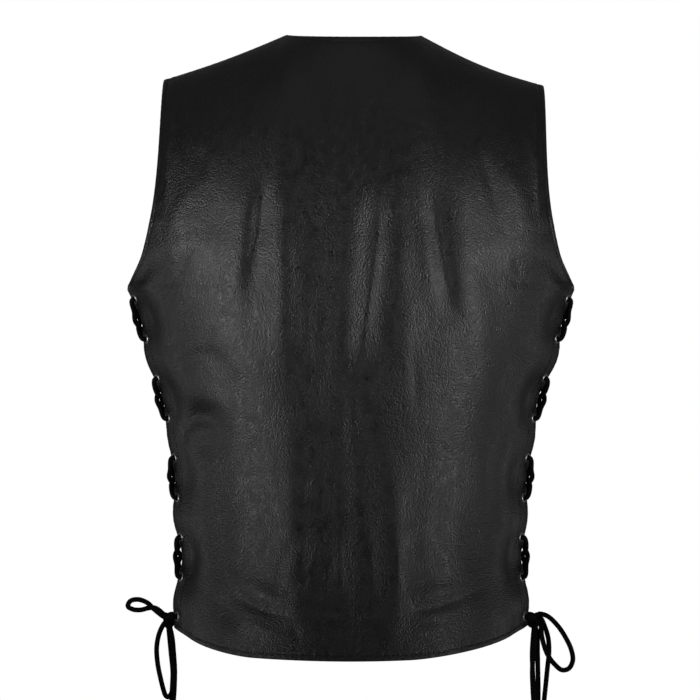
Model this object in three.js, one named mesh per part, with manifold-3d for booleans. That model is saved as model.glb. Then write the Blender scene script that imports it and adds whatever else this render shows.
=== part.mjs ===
// A man's side-laced leather vest, in the hollow form that it keeps when it is worn.
// Millimetres, +Z up. The wearer faces -Y, and the wearer's left is +X.
// The origin lies midway between the middles of the two shoulder seams, where the shoulders carry it.
import * as THREE from "three";
import { mergeVertices } from "three/addons/utils/BufferGeometryUtils.js";
import Module from "manifold-3d";

const wasm = await Module();
wasm.setup();

// Leather and seams
const WALL = 2.0; // leather with its turned edge
const SEAM_GAP = 0.5; // between the back and a front at the shoulder
const LAP = 13; // how far each front passes the centre
const LAP_GAP = 0.8; // between the two fronts where they lap

// Heights
const BLADE_LEVEL = -170; // shoulder blades and chest: above it the panels turn in to the shoulders
const EYELET_ROWS = 9;
const EYELET_PITCH = 40.2;
const TOP_EYELET = -245.3;
const TOP_MARGIN = 9; // from the top eyelets to the armhole's foot
const FOOT_MARGIN = 6.5; // from the lowest eyelets to the rounded corner of the hem
const ARMHOLE_FOOT = TOP_EYELET + TOP_MARGIN;
const LOWEST_LEVEL = TOP_EYELET - (EYELET_ROWS - 1) * EYELET_PITCH - FOOT_MARGIN;
const BACK_HEM = -602;
const FRONT_HEM = -603;
const V_FOOT = -262; // where the front edges start to part

// Neck and shoulders
const NECK_HALF_WIDTH = 68;
const NAPE_DEPTH = 70;
const NECK_POINT_HEIGHT = 24;
const NAPE_DROP = 9.5;
const SHOULDER_TIP = { across: 193, height: -24.5 };
const SHOULDER_SAG = { left: 2.2, right: 5.5 };
const NAPE_TURN = 58; // degrees that the leather has turned over at the nape

// Side edges
const SIDE_GAP = 18; // between the back's side edge and a front's
const SIDE_STRIP = 18; // the flat strip along a side edge, which holds the eyelets
const HEM_WIDTH = 232; // from the centre to a side edge, along the hem
const HEM_RISE = 8; // of the whole hem towards the sides
const HEM_CORNER = { left: { rise: 15.5, reach: 105 }, right: { rise: 18, reach: 150 } };

// The whole vest leans a little: how far the top lies to the wearer's right, and how far that shoulder drops.
const LEAN = { shift: -3.1, drop: 3.1 };

// How far the side edges swing out half-way between two eyelets. They swing in where the lace crosses outside.
const belowEyelet = (row) => TOP_EYELET - (row - 0.5) * EYELET_PITCH;
const SCALLOPS = [
  { height: ARMHOLE_FOOT, left: 0, right: 0 },
  { height: belowEyelet(1), left: -6, right: -4.5 },
  { height: belowEyelet(2), left: 1, right: 2.5 },
  { height: belowEyelet(3), left: -3.5, right: -4.5 },
  { height: belowEyelet(4), left: 1, right: 1.5 },
  { height: belowEyelet(5), left: -2.5, right: -3 },
  { height: belowEyelet(6), left: 2, right: 1 },
  { height: belowEyelet(7), left: -5.5, right: -4 },
  { height: belowEyelet(8), left: 2, right: 2.5 },
  { height: LOWEST_LEVEL, left: 0, right: 0 },
];
const SCALLOP_REACH = 52; // from a side edge

// The laces pull the sides in to a blunt ridge: the leather dips most at some way from its side edge.
const TUCK = { depth: 8, deepest: 28, reach: 125, low: -240, high: -190 };

const SECTION_POWER = 2.35; // 2 is an ellipse, and more is squarer
const TORSO = [
  { height: -610, halfWidth: 179.5, back: 106, front: 107 },
  { height: -567, halfWidth: 180, back: 103, front: 105 },
  { height: -527, halfWidth: 177.5, back: 100, front: 103 },
  { height: -486, halfWidth: 178.5, back: 98, front: 101 },
  { height: -446, halfWidth: 180.5, back: 98, front: 101 },
  { height: -406, halfWidth: 183.5, back: 100, front: 103 },
  { height: -366, halfWidth: 190, back: 105, front: 107 },
  { height: -326, halfWidth: 201.5, back: 110, front: 111 },
  { height: -286, halfWidth: 214, back: 115, front: 114 },
  { height: -236, halfWidth: 227.5, back: 119, front: 115 },
  { height: -200, halfWidth: 232, back: 120, front: 114 },
  { height: -170, halfWidth: 235, back: 119, front: 112 },
];
const ARMHOLE = [
  { height: ARMHOLE_FOOT, back: 227.2, front: 227.2 },
  { height: -226, back: 221, front: 216 },
  { height: -206, back: 210.5, front: 201 },
  { height: -186, back: 204.5, front: 190 },
  { height: BLADE_LEVEL, back: 201, front: 184 },
];
const FRONT_ARMHOLE_SCOOP = 11; // how far a front's armhole curves in above the chest

// The largest folds: troughs are negative. Across is measured at the fold's two ends.
const FOLD_FADES = { top: 0.3, bottom: 0.65 }; // shares of a fold's length between which it is whole
const BACK_FOLDS = [
  { top: -118, bottom: -262, acrossTop: 84, acrossBottom: 100, width: 9, rise: -1.8 },
  { top: -112, bottom: -275, acrossTop: 102, acrossBottom: 118, width: 15, rise: 1.8 },
  { top: -112, bottom: -345, acrossTop: 66, acrossBottom: 66, width: 12, rise: 2 },
  { top: -90, bottom: -610, acrossTop: 40, acrossBottom: 26, width: 20, rise: -1.8 },
  { top: -118, bottom: -350, acrossTop: -25, acrossBottom: -7, width: 13, rise: -3.4 },
  { top: -140, bottom: -360, acrossTop: -40, acrossBottom: -62, width: 12, rise: 1 },
  { top: -128, bottom: -288, acrossTop: -72, acrossBottom: -102, width: 10, rise: -1.8 },
  { top: -85, bottom: -370, acrossTop: -97, acrossBottom: -138, width: 17, rise: 2.2 },
  { top: -310, bottom: -612, acrossTop: -3, acrossBottom: -16, width: 16, rise: -2.2 },
  { top: -395, bottom: -600, acrossTop: -44, acrossBottom: -46, width: 13, rise: 1.7 },
  { top: -330, bottom: -600, acrossTop: 60, acrossBottom: 52, width: 20, rise: 1.8 },
  { top: -342, bottom: -410, acrossTop: 152, acrossBottom: 148, width: 20, rise: -2.5 },
];
const FRONT_FOLDS = [
  { top: -150, bottom: -300, acrossTop: 118, acrossBottom: 92, width: 14, rise: -2 },
  { top: -170, bottom: -330, acrossTop: 148, acrossBottom: 130, width: 14, rise: 2 },
  { top: -330, bottom: -600, acrossTop: 62, acrossBottom: 70, width: 20, rise: 2.2 },
  { top: -370, bottom: -600, acrossTop: 108, acrossBottom: 112, width: 18, rise: -2 },
];
const UNDER_LAP = { reach: 45, low: 50, high: 110 }; // where the right front runs on let in: past the lap, above the V

// Eyelets, snaps and lace
const HOLE_RADIUS = 3.8;
const DRILL_LENGTH = 6 * WALL;
const HOLE_SIDES = 8;
const EYELET = { bore: 3.1, barrel: 3.45, flange: 5.2, underFlange: 4.8, flangeThick: 0.6, clearance: 0.42 };
const SNAP = {
  cap: 7.5, capRim: 0.8, capTop: 5.0, capHeight: 2.6, capDome: 0.3,
  post: 2.0, foot: 5.5, footThick: 1.2, hole: 2.5, clearance: 0.35, sides: 10,
};
const SNAP_ROWS = [1, 3, 5, 7]; // counted down from the top eyelet, which is 0
const LACE_RADIUS = 2.6;
const LACE_SIDES = 8;
const OVER_HOLE = 3.0; // how far the lace runs straight past each face of the leather
const LIFT = 5.8; // height of the lace's middle beside the lowest eyelets
const LIFT_REACH = 4.3;
const OVER_EDGE = 3.75; // height of the lace's middle over a panel's side edge
const CROSS_LOW = 0; // heights of the lace's middle where two strands cross
const CROSS_HIGH = 5.6;

const LEATHER = new THREE.MeshStandardMaterial({ color: 0x17171a, roughness: 0.42, metalness: 0 });
const LEATHER_FRONT = LEATHER.clone();
const NICKEL = new THREE.MeshStandardMaterial({ color: 0xb9bbbf, roughness: 0.25, metalness: 1 });
const CORD = new THREE.MeshStandardMaterial({ color: 0x0a0a0b, roughness: 0.7, metalness: 0 });

const lerp = THREE.MathUtils.lerp;
const clamp = THREE.MathUtils.clamp;
const radians = THREE.MathUtils.degToRad;
const smooth = THREE.MathUtils.smoothstep;

// One column of a table at a height, on a smooth curve through its rows.
function at(table, column, height) {
  const rows = table[0].height < table.at(-1).height ? table : table.toReversed();
  const z = clamp(height, rows[0].height, rows.at(-1).height);
  const i = clamp(rows.findIndex((row) => row.height > z) - 1, 0, rows.length - 2);
  const k = z >= rows.at(-1).height ? rows.length - 2 : i;
  const slope = (a, b) => (rows[b][column] - rows[a][column]) / (rows[b].height - rows[a].height);
  const run = rows[k + 1].height - rows[k].height;
  const slopeIn = slope(Math.max(k - 1, 0), k + 1) * run;
  const slopeOut = slope(k, Math.min(k + 2, rows.length - 1)) * run;
  const t = (z - rows[k].height) / run;
  const [p, q] = [rows[k][column], rows[k + 1][column]];
  return p + t * (slopeIn + t * (3 * (q - p) - 2 * slopeIn - slopeOut + t * (2 * (p - q) + slopeIn + slopeOut)));
}

// A point of the torso's section at a height. The angle is counted from the middle of that face.
function onTorso(face, angle, height) {
  const width = at(TORSO, "halfWidth", height);
  const depth = at(TORSO, face, height);
  const [s, c] = [Math.sin(angle), Math.cos(angle)];
  const radius = (Math.abs(s / width) ** SECTION_POWER + Math.abs(c / depth) ** SECTION_POWER) ** (-1 / SECTION_POWER);
  const facing = face === "back" ? 1 : -1;
  return new THREE.Vector3(radius * s, facing * radius * c, height);
}

// The angle of a panel's outer edge: the side edge below the armhole's foot, the armhole above it.
function edgeAngle(face, height) {
  const width = at(TORSO, "halfWidth", height);
  if (height <= ARMHOLE_FOOT) return Math.atan2(width, SIDE_GAP / 2);
  const share = Math.min(at(ARMHOLE, face, height) / width, 1);
  const depth = at(TORSO, face, height) * (1 - share ** SECTION_POWER) ** (1 / SECTION_POWER);
  return Math.atan2(share * width, Math.max(depth, SIDE_GAP / 2));
}

// How far the hem rises at a column, where 1 is the side edge.
function hemRise(column, side) {
  const { rise, reach } = HEM_CORNER[side];
  const fromSide = (1 - column) * HEM_WIDTH;
  return HEM_RISE * column ** 2 + rise * Math.max(1 - fromSide / reach, 0) ** 1.5;
}

function foldHeight(folds, across, height) {
  return folds.reduce((sum, fold) => {
    const t = (fold.top - height) / (fold.top - fold.bottom);
    const middle = lerp(fold.acrossTop, fold.acrossBottom, t);
    const along = smooth(t, 0, FOLD_FADES.top) * (1 - smooth(t, FOLD_FADES.bottom, 1));
    return sum + fold.rise * along * Math.exp(-(((across - middle) / fold.width) ** 2));
  }, 0);
}

function scallop(side, column, height) {
  if (height >= ARMHOLE_FOOT || height <= LOWEST_LEVEL) return 0;
  const [start, whole] = [1 - SCALLOP_REACH / HEM_WIDTH, 1 - SIDE_STRIP / HEM_WIDTH];
  return at(SCALLOPS, side, height) * smooth(column, start, whole);
}

function tuck(column, height) {
  const fromEdge = (1 - column) * HEM_WIDTH;
  const rising = Math.sin((Math.PI / 2) * Math.min(fromEdge / TUCK.deepest, 1));
  const share = rising * (1 - smooth(fromEdge, TUCK.deepest, TUCK.reach));
  return -TUCK.depth * share * (1 - smooth(height, TUCK.low, TUCK.high));
}

function lean(point) {
  const share = smooth(point.z, ARMHOLE_FOOT, NECK_POINT_HEIGHT);
  const across = point.x / SHOULDER_TIP.across;
  return point.add(new THREE.Vector3(LEAN.shift * share, 0, LEAN.drop * across * Math.abs(across) * share));
}

// Rows of every panel: 0 is the hem, 0 to 1 the stretch above it, 1 to 2 up to the blades, 2 to 3 the shoulder.
function levelToRow(height) {
  return 1 + (height - LOWEST_LEVEL) / (BLADE_LEVEL - LOWEST_LEVEL);
}
const EYELET_HEIGHTS = Array.from({ length: EYELET_ROWS }, (_, i) => TOP_EYELET - i * EYELET_PITCH);
const BETWEEN_EYELETS = EYELET_HEIGHTS.slice(1).map((z) => z + EYELET_PITCH / 2);
const SIDE_ROWS = [LOWEST_LEVEL, ...BETWEEN_EYELETS.toReversed(), ARMHOLE_FOOT];
const ARMHOLE_ROWS = [-232, -224, -210, -191, BLADE_LEVEL];
const SHOULDER_ROWS = [2.17, 2.36, 2.54, 2.71, 2.87, 3];
const ROWS = [0, ...[...SIDE_ROWS, ...ARMHOLE_ROWS].map(levelToRow), ...SHOULDER_ROWS];

// Carries a point of the blade level over the shoulder to its place on the panel's top edge.
// The armhole's edge turns upright soonest.
function overShoulder(low, top, turn, share, column, scoop) {
  const bend = radians(turn) * share;
  const [sinTop, cosTop] = [Math.sin(radians(turn)), Math.cos(radians(turn))];
  const inward = 1 - (1 - share) ** lerp(2, 6, column ** 4);
  return new THREE.Vector3(
    lerp(low.x, top.x, inward) - Math.sign(low.x) * scoop * Math.sin(Math.PI * share),
    top.y + ((low.y - top.y) * (Math.cos(bend) - cosTop)) / (1 - cosTop),
    low.z + ((top.z - low.z) * Math.sin(bend)) / sinTop,
  );
}

function shoulderSeam(share, facing, side) {
  const height = lerp(NECK_POINT_HEIGHT, SHOULDER_TIP.height, share) - SHOULDER_SAG[side] * Math.sin(Math.PI * share);
  return new THREE.Vector3(lerp(NECK_HALF_WIDTH, SHOULDER_TIP.across, share), (facing * SEAM_GAP) / 2, height);
}

// The back is one piece. Columns run from -1 at its right side edge to 1 at its left.
const BACK_COLUMNS = 19; // from the centre to the side strip
const BACK_STRIP = BACK_COLUMNS / (BACK_COLUMNS + 1);
const NECK_SHARE = 7 / (BACK_COLUMNS + 1);
const EASE_REACH = 0.35; // at the level of the blades, as a share of the columns

function neckAndShoulder(column, side) {
  if (column >= NECK_SHARE) return shoulderSeam((column - NECK_SHARE) / (1 - NECK_SHARE), 1, side);
  const turn = (Math.PI / 2) * (column / NECK_SHARE);
  const depth = SEAM_GAP / 2 + (NAPE_DEPTH - SEAM_GAP / 2) * Math.cos(turn);
  const height = NECK_POINT_HEIGHT - NAPE_DROP * (depth / NAPE_DEPTH);
  return new THREE.Vector3(NECK_HALF_WIDTH * Math.sin(turn), depth, height);
}

// The top edge as the leather below it feels it: its corner at the neck point is eased over a share of the columns.
const EASE = [-1, -0.6, -0.2, 0.2, 0.6, 1];
function backTop(column, reach, side) {
  return EASE.map((k) => {
    const point = neckAndShoulder(Math.min(Math.abs(column + k * reach), 1), side);
    if (column + k * reach < 0) point.x *= -1;
    return point;
  })
    .reduce((sum, point) => sum.add(point), new THREE.Vector3())
    .divideScalar(EASE.length);
}

// A panel's angle at a column: even steps up to the side strip, and then the strip itself.
// An armhole draws in the columns beside it most.
function columnAngle(inner, outer, strip, column, height) {
  const width = at(TORSO, "halfWidth", height);
  const stripAngle = outer - SIDE_STRIP / width;
  if (column > strip) return lerp(stripAngle, outer, (column - strip) / (1 - strip));
  const full = Math.atan2(width, SIDE_GAP / 2) - SIDE_STRIP / width;
  const share = column / strip;
  return lerp(inner, full, share) - (full - stripAngle) * share ** 3;
}

function backForm(u, v) {
  const [column, side] = [Math.abs(u), u < 0 ? "right" : "left"];
  const onLevel = (height) => {
    const angle = columnAngle(0, edgeAngle("back", height), BACK_STRIP, column, height);
    return onTorso("back", angle, height);
  };
  const hem = BACK_HEM + hemRise(column, side);
  const level = v < 1 ? lerp(hem, LOWEST_LEVEL, v) : lerp(LOWEST_LEVEL, BLADE_LEVEL, Math.min(v, 2) - 1);
  const point = onLevel(level);
  if (v > 2) {
    const turn = lerp(NAPE_TURN, 90, smooth(column, 0, NECK_SHARE));
    const reach = Math.min(EASE_REACH * (3 - v), 1 - column);
    point.copy(overShoulder(point, backTop(column, reach, side), turn, v - 2, column, 0));
  }
  point.x *= Math.sign(u) || 1;
  return point;
}

// A front runs from 0 at its centre edge to 1 at its side edge. Facing 1 is the wearer's left, which laps over.
const FRONT_COLUMNS = 10; // from the lap to the side strip
const FRONT_STRIP = (FRONT_COLUMNS + 1) / (FRONT_COLUMNS + 2);
const LAP_STRIP = 1 / (FRONT_COLUMNS + 2);

function centreEdge(height) {
  const share = clamp((height - V_FOOT) / (NECK_POINT_HEIGHT - V_FOOT), 0, 1);
  return lerp(-LAP, NECK_HALF_WIDTH, share ** 0.9);
}

function frontForm(column, v, side) {
  const onLevel = (height) => {
    const depth = at(TORSO, "front", height);
    const [edge, lap] = [centreEdge(height), centreEdge(height) + 2 * LAP];
    const inner = Math.atan2(edge, depth);
    const strip = Math.atan2(lap, depth);
    if (column < LAP_STRIP) return onTorso("front", lerp(inner, strip, column / LAP_STRIP), height);
    const past = (column - LAP_STRIP) / (1 - LAP_STRIP);
    const stripShare = (FRONT_STRIP - LAP_STRIP) / (1 - LAP_STRIP);
    const angle = columnAngle(strip, edgeAngle("front", height), stripShare, past, height);
    return onTorso("front", angle, height);
  };
  const hem = FRONT_HEM + hemRise(column, side);
  const level = v < 1 ? lerp(hem, LOWEST_LEVEL, v) : lerp(LOWEST_LEVEL, BLADE_LEVEL, Math.min(v, 2) - 1);
  const point = onLevel(level);
  if (v > 2) {
    point.copy(overShoulder(point, shoulderSeam(column, -1, side), 90, v - 2, 0, FRONT_ARMHOLE_SCOOP * column));
  }
  return point;
}

const STEP = 1e-3;
const MERGE = 1e-4;

// The outward normal of a surface given as a function of its column and row.
function normalOf(form, u, v, low, facing) {
  const [uLow, uHigh] = [Math.max(u - STEP, low), Math.min(u + STEP, 1)];
  const [vLow, vHigh] = [Math.max(v - STEP, 0), Math.min(v + STEP, 3)];
  const along = form(uHigh, v).sub(form(uLow, v));
  const up = form(u, vHigh).sub(form(u, vLow));
  return along.cross(up).normalize().multiplyScalar(facing);
}

function backSurface(u, v) {
  const point = backForm(u, v);
  const swing = scallop(u < 0 ? "right" : "left", Math.abs(u), point.z) + tuck(Math.abs(u), point.z);
  const rise = foldHeight(BACK_FOLDS, point.x, point.z) + swing;
  return lean(point.addScaledVector(normalOf(backForm, u, v, -1, -1), rise));
}

// The right front is drawn on the wearer's left, let in where it passes under the other, and then mirrored.
function frontSurface(side, u, v) {
  const form = (a, b) => frontForm(a, b, side);
  const point = form(u, v);
  const below = 1 - smooth(point.z, V_FOOT + UNDER_LAP.low, V_FOOT + UNDER_LAP.high);
  const under = below * (1 - smooth(point.x, LAP, LAP + UNDER_LAP.reach));
  const letIn = side === "right" ? (WALL + LAP_GAP) * under : 0;
  const rise = foldHeight(FRONT_FOLDS, point.x, point.z) + scallop(side, u, point.z) + tuck(u, point.z) - letIn;
  point.addScaledVector(normalOf(form, u, v, 0, 1), rise);
  if (side === "right") point.x *= -1;
  return lean(point);
}
const leftFrontSurface = (u, v) => frontSurface("left", u, v);
const rightFrontSurface = (u, v) => frontSurface("right", u, v);

// A closed wall between a grid of outer points and the same grid moved in along its normals.
function wallPanel(surface, columns, facing) {
  const outer = ROWS.map((v) => columns.map((u) => surface(u, v)));
  const inner = ROWS.map((v, r) =>
    columns.map((u, c) => {
      const normal = normalOf(surface, u, v, columns[0], facing);
      return outer[r][c].clone().addScaledVector(normal, -WALL);
    }),
  );
  const [rows, width] = [ROWS.length, columns.length];
  const index = (layer, r, c) => (layer * rows + r) * width + c;
  const faces = [];
  const quad = (a, b, c, d) => faces.push(a, b, c, a, c, d);
  for (let r = 0; r + 1 < rows; r++) {
    for (let c = 0; c + 1 < width; c++) {
      quad(index(0, r, c), index(0, r, c + 1), index(0, r + 1, c + 1), index(0, r + 1, c));
      quad(index(1, r, c), index(1, r + 1, c), index(1, r + 1, c + 1), index(1, r, c + 1));
    }
    quad(index(0, r, 0), index(0, r + 1, 0), index(1, r + 1, 0), index(1, r, 0));
    quad(index(0, r, width - 1), index(1, r, width - 1), index(1, r + 1, width - 1), index(0, r + 1, width - 1));
  }
  for (let c = 0; c + 1 < width; c++) {
    quad(index(0, 0, c), index(1, 0, c), index(1, 0, c + 1), index(0, 0, c + 1));
    const r = rows - 1;
    quad(index(0, r, c), index(0, r, c + 1), index(1, r, c + 1), index(1, r, c));
  }
  if (facing < 0) faces.reverse();
  const positions = [...outer, ...inner].flat().flatMap((p) => p.toArray());
  const geometry = new THREE.BufferGeometry();
  geometry.setAttribute("position", new THREE.Float32BufferAttribute(positions, 3));
  geometry.setIndex(faces);
  return { geometry, outer };
}

function solidOf(geometry) {
  const bare = geometry.clone();
  for (const name of ["normal", "uv"]) bare.deleteAttribute(name);
  const merged = mergeVertices(bare, MERGE);
  const vertProperties = new Float32Array(merged.attributes.position.array);
  return new wasm.Manifold(new wasm.Mesh({ numProp: 3, vertProperties, triVerts: new Uint32Array(merged.index.array) }));
}

function geometryOf(solid) {
  const mesh = solid.getMesh();
  const geometry = new THREE.BufferGeometry();
  geometry.setAttribute("position", new THREE.BufferAttribute(mesh.vertProperties, 3));
  geometry.setIndex(new THREE.BufferAttribute(mesh.triVerts, 1));
  return geometry;
}

// The place and outward direction of an eyelet or a snap, in the flat patch between two rows and two columns.
function patchFrame(outer, eyelet, column) {
  const row = outer.findLastIndex((points) => points[column].z < EYELET_HEIGHTS[eyelet]);
  const [a, b, c, d] = [outer[row][column], outer[row][column + 1], outer[row + 1][column + 1], outer[row + 1][column]];
  const foot = a.clone().lerp(b, 0.5);
  const head = d.clone().lerp(c, 0.5);
  const centre = foot.clone().lerp(head, (EYELET_HEIGHTS[eyelet] - foot.z) / (head.z - foot.z));
  const normal = c.clone().sub(a).cross(d.clone().sub(b)).normalize();
  if (normal.dot(new THREE.Vector3(centre.x, centre.y, 0)) < 0) normal.negate();
  return { centre, normal };
}

// Places a shape that was drawn along +Y, so that +Y points out of the leather.
function stand(geometry, frame) {
  const turn = new THREE.Quaternion().setFromUnitVectors(new THREE.Vector3(0, 1, 0), frame.normal);
  return geometry.applyQuaternion(turn).translate(...frame.centre.toArray());
}

function drill(panel, frames, radius) {
  const cut = frames.reduce((solid, frame) => {
    const drillBit = stand(new THREE.CylinderGeometry(radius, radius, DRILL_LENGTH, HOLE_SIDES), frame);
    return solid.subtract(solidOf(drillBit));
  }, solidOf(panel));
  return geometryOf(cut);
}

function lathe(profile, segments) {
  return new THREE.LatheGeometry(profile.map(([radius, height]) => new THREE.Vector2(radius, height)), segments);
}

function eyelet(frame) {
  const { bore, barrel, flange, underFlange, flangeThick, clearance } = EYELET;
  const [under, back] = [clearance, -WALL - clearance];
  const profile = [
    [bore, back - flangeThick],
    [underFlange, back],
    [barrel, back],
    [barrel, under],
    [flange, under],
    [bore, under + flangeThick],
    [bore, back - flangeThick],
  ];
  return stand(lathe(profile, HOLE_SIDES), frame);
}

function snap(frame) {
  const { cap, capRim, capTop, capHeight, capDome, post, foot, footThick, clearance, sides } = SNAP;
  const back = -2 * WALL - LAP_GAP - clearance;
  const profile = [
    [0, back - footThick],
    [foot, back - footThick],
    [foot, back],
    [post, back],
    [post, clearance],
    [cap, clearance],
    [cap, clearance + capRim],
    [capTop, capHeight - capDome],
    [0, capHeight],
  ];
  return stand(lathe(profile, sides), frame);
}

// A smooth line through a list of points, stepped evenly from point to point and not by length.
class Route extends THREE.Curve {
  constructor(points) {
    super();
    this.line = new THREE.CatmullRomCurve3(points, false, "centripetal");
  }
  getPoint(t, target = new THREE.Vector3()) {
    return this.line.getPoint(t, target);
  }
  getPointAt(t, target) {
    return this.getPoint(t, target);
  }
  getTangentAt(t, target = new THREE.Vector3()) {
    const [low, high] = [Math.max(t - STEP / 10, 0), Math.min(t + STEP / 10, 1)];
    return target.copy(this.getPoint(high)).sub(this.getPoint(low)).normalize();
  }
}

function cordSection() {
  const corner = (i) => (2 * Math.PI * i) / LACE_SIDES;
  const points = Array.from(
    { length: LACE_SIDES },
    (_, i) => new THREE.Vector2(LACE_RADIUS * Math.cos(corner(i)), LACE_RADIUS * Math.sin(corner(i))),
  );
  return new THREE.Shape(points);
}

function tube(route, steps) {
  return new THREE.ExtrudeGeometry(cordSection(), { steps, extrudePath: route });
}

function offset(frame, out, direction = new THREE.Vector3(), reach = 0) {
  return frame.centre.clone().addScaledVector(frame.normal, out).addScaledVector(direction, reach);
}

// The direction from one eyelet to another, along the leather at the first.
function towards(from, to) {
  return to.centre.clone().sub(from.centre).projectOnPlane(from.normal).normalize();
}

// Where a run towards another eyelet passes over the panel's side edge.
function edgePoint(from, to) {
  const along = towards(from, to);
  const outward = new THREE.Vector3(0, -Math.sign(from.centre.y), 0).projectOnPlane(from.normal).normalize();
  return from.centre.clone().addScaledVector(along, SIDE_STRIP / 2 / along.dot(outward));
}

// The lace's run between two eyelets, outside or inside the leather, over or under the strand that it crosses.
function crossing(from, to, outside, over) {
  const middle = {
    centre: edgePoint(from, to).lerp(edgePoint(to, from), 0.5),
    normal: from.normal.clone().add(to.normal).normalize(),
  };
  const level = (h) => (outside ? h : -WALL - h);
  return [
    edgePoint(from, to).addScaledVector(from.normal, level(OVER_EDGE)),
    offset(middle, level(over ? CROSS_HIGH : CROSS_LOW)),
    edgePoint(to, from).addScaledVector(to.normal, level(OVER_EDGE)),
  ];
}

function throughHole(frame, outward) {
  const points = [offset(frame, -WALL - OVER_HOLE), offset(frame, OVER_HOLE)];
  return outward ? points : points.reverse();
}

// One strand from the top eyelet down: it changes panel at each row, and changes face at each eyelet.
function strand(frames, startsOnBack) {
  const panelAt = (row) => ((row % 2 === 0) === startsOnBack ? frames.back : frames.front)[row];
  return EYELET_HEIGHTS.flatMap((_, row) => {
    const outward = row % 2 === 0;
    const pass = throughHole(panelAt(row), outward);
    return row + 1 < EYELET_ROWS
      ? [...pass, ...crossing(panelAt(row), panelAt(row + 1), outward, startsOnBack === (row % 4 < 2))]
      : pass;
  });
}

const KNOT = {
  out: 10.3, drop: 4, halfWidth: 7.4, halfHeight: 8, halfDepth: 5.6, gap: 0.35,
  leadGap: 1.7, leadRise: 2, columns: 12, rows: 8,
};

function knotCentre(frames) {
  const [back, front] = [frames.back.at(-1), frames.front.at(-1)];
  return back.centre
    .clone()
    .add(front.centre)
    .multiplyScalar(0.5)
    .addScaledVector(back.normal.clone().add(front.normal).normalize(), KNOT.out)
    .add(new THREE.Vector3(0, 0, -KNOT.drop));
}

// Where a lace end meets the knot's side.
function lead(frame, knot) {
  const facing = Math.sign(frame.centre.y);
  const inward = new THREE.Vector3(0, -facing, 0);
  const end = new THREE.Vector3(0, facing * (KNOT.halfWidth + KNOT.leadGap), KNOT.leadRise);
  return [offset(frame, LIFT, inward, LIFT_REACH), knot.clone().add(end)];
}

function lacing(frames) {
  const knot = knotCentre(frames);
  const backStrand = [...strand(frames, true), ...lead(frames.back.at(-1), knot)];
  const frontStrand = [...strand(frames, false), ...lead(frames.front.at(-1), knot)];
  const across = frames.front[0].centre.clone().sub(frames.back[0].centre).normalize();
  const bridge = [
    offset(frames.back[0], -WALL - LIFT, across, LIFT_REACH),
    offset(frames.front[0], -WALL - LIFT, across, -LIFT_REACH),
  ];
  const points = [...backStrand.toReversed(), ...bridge, ...frontStrand];
  return tube(new Route(points), points.length - 1);
}

const KNOT_SIZE = new THREE.Vector3(KNOT.halfDepth, KNOT.halfWidth, KNOT.halfHeight);

function knot(centre) {
  const ball = new THREE.SphereGeometry(1, KNOT.columns, KNOT.rows);
  return ball.scale(...KNOT_SIZE.toArray()).translate(...centre.toArray());
}

// Where the middle of a cord's end lies when its rim is seated on the knot. Both points count from the knot's centre.
function seatOnKnot(end, next) {
  const seat = end.clone().divide(KNOT_SIZE).normalize().multiply(KNOT_SIZE);
  const normal = seat.clone().divide(KNOT_SIZE).divide(KNOT_SIZE).normalize();
  const slant = next.clone().sub(seat).normalize().cross(normal).length();
  return seat.addScaledVector(normal, KNOT.gap + LACE_RADIUS * slant);
}

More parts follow.
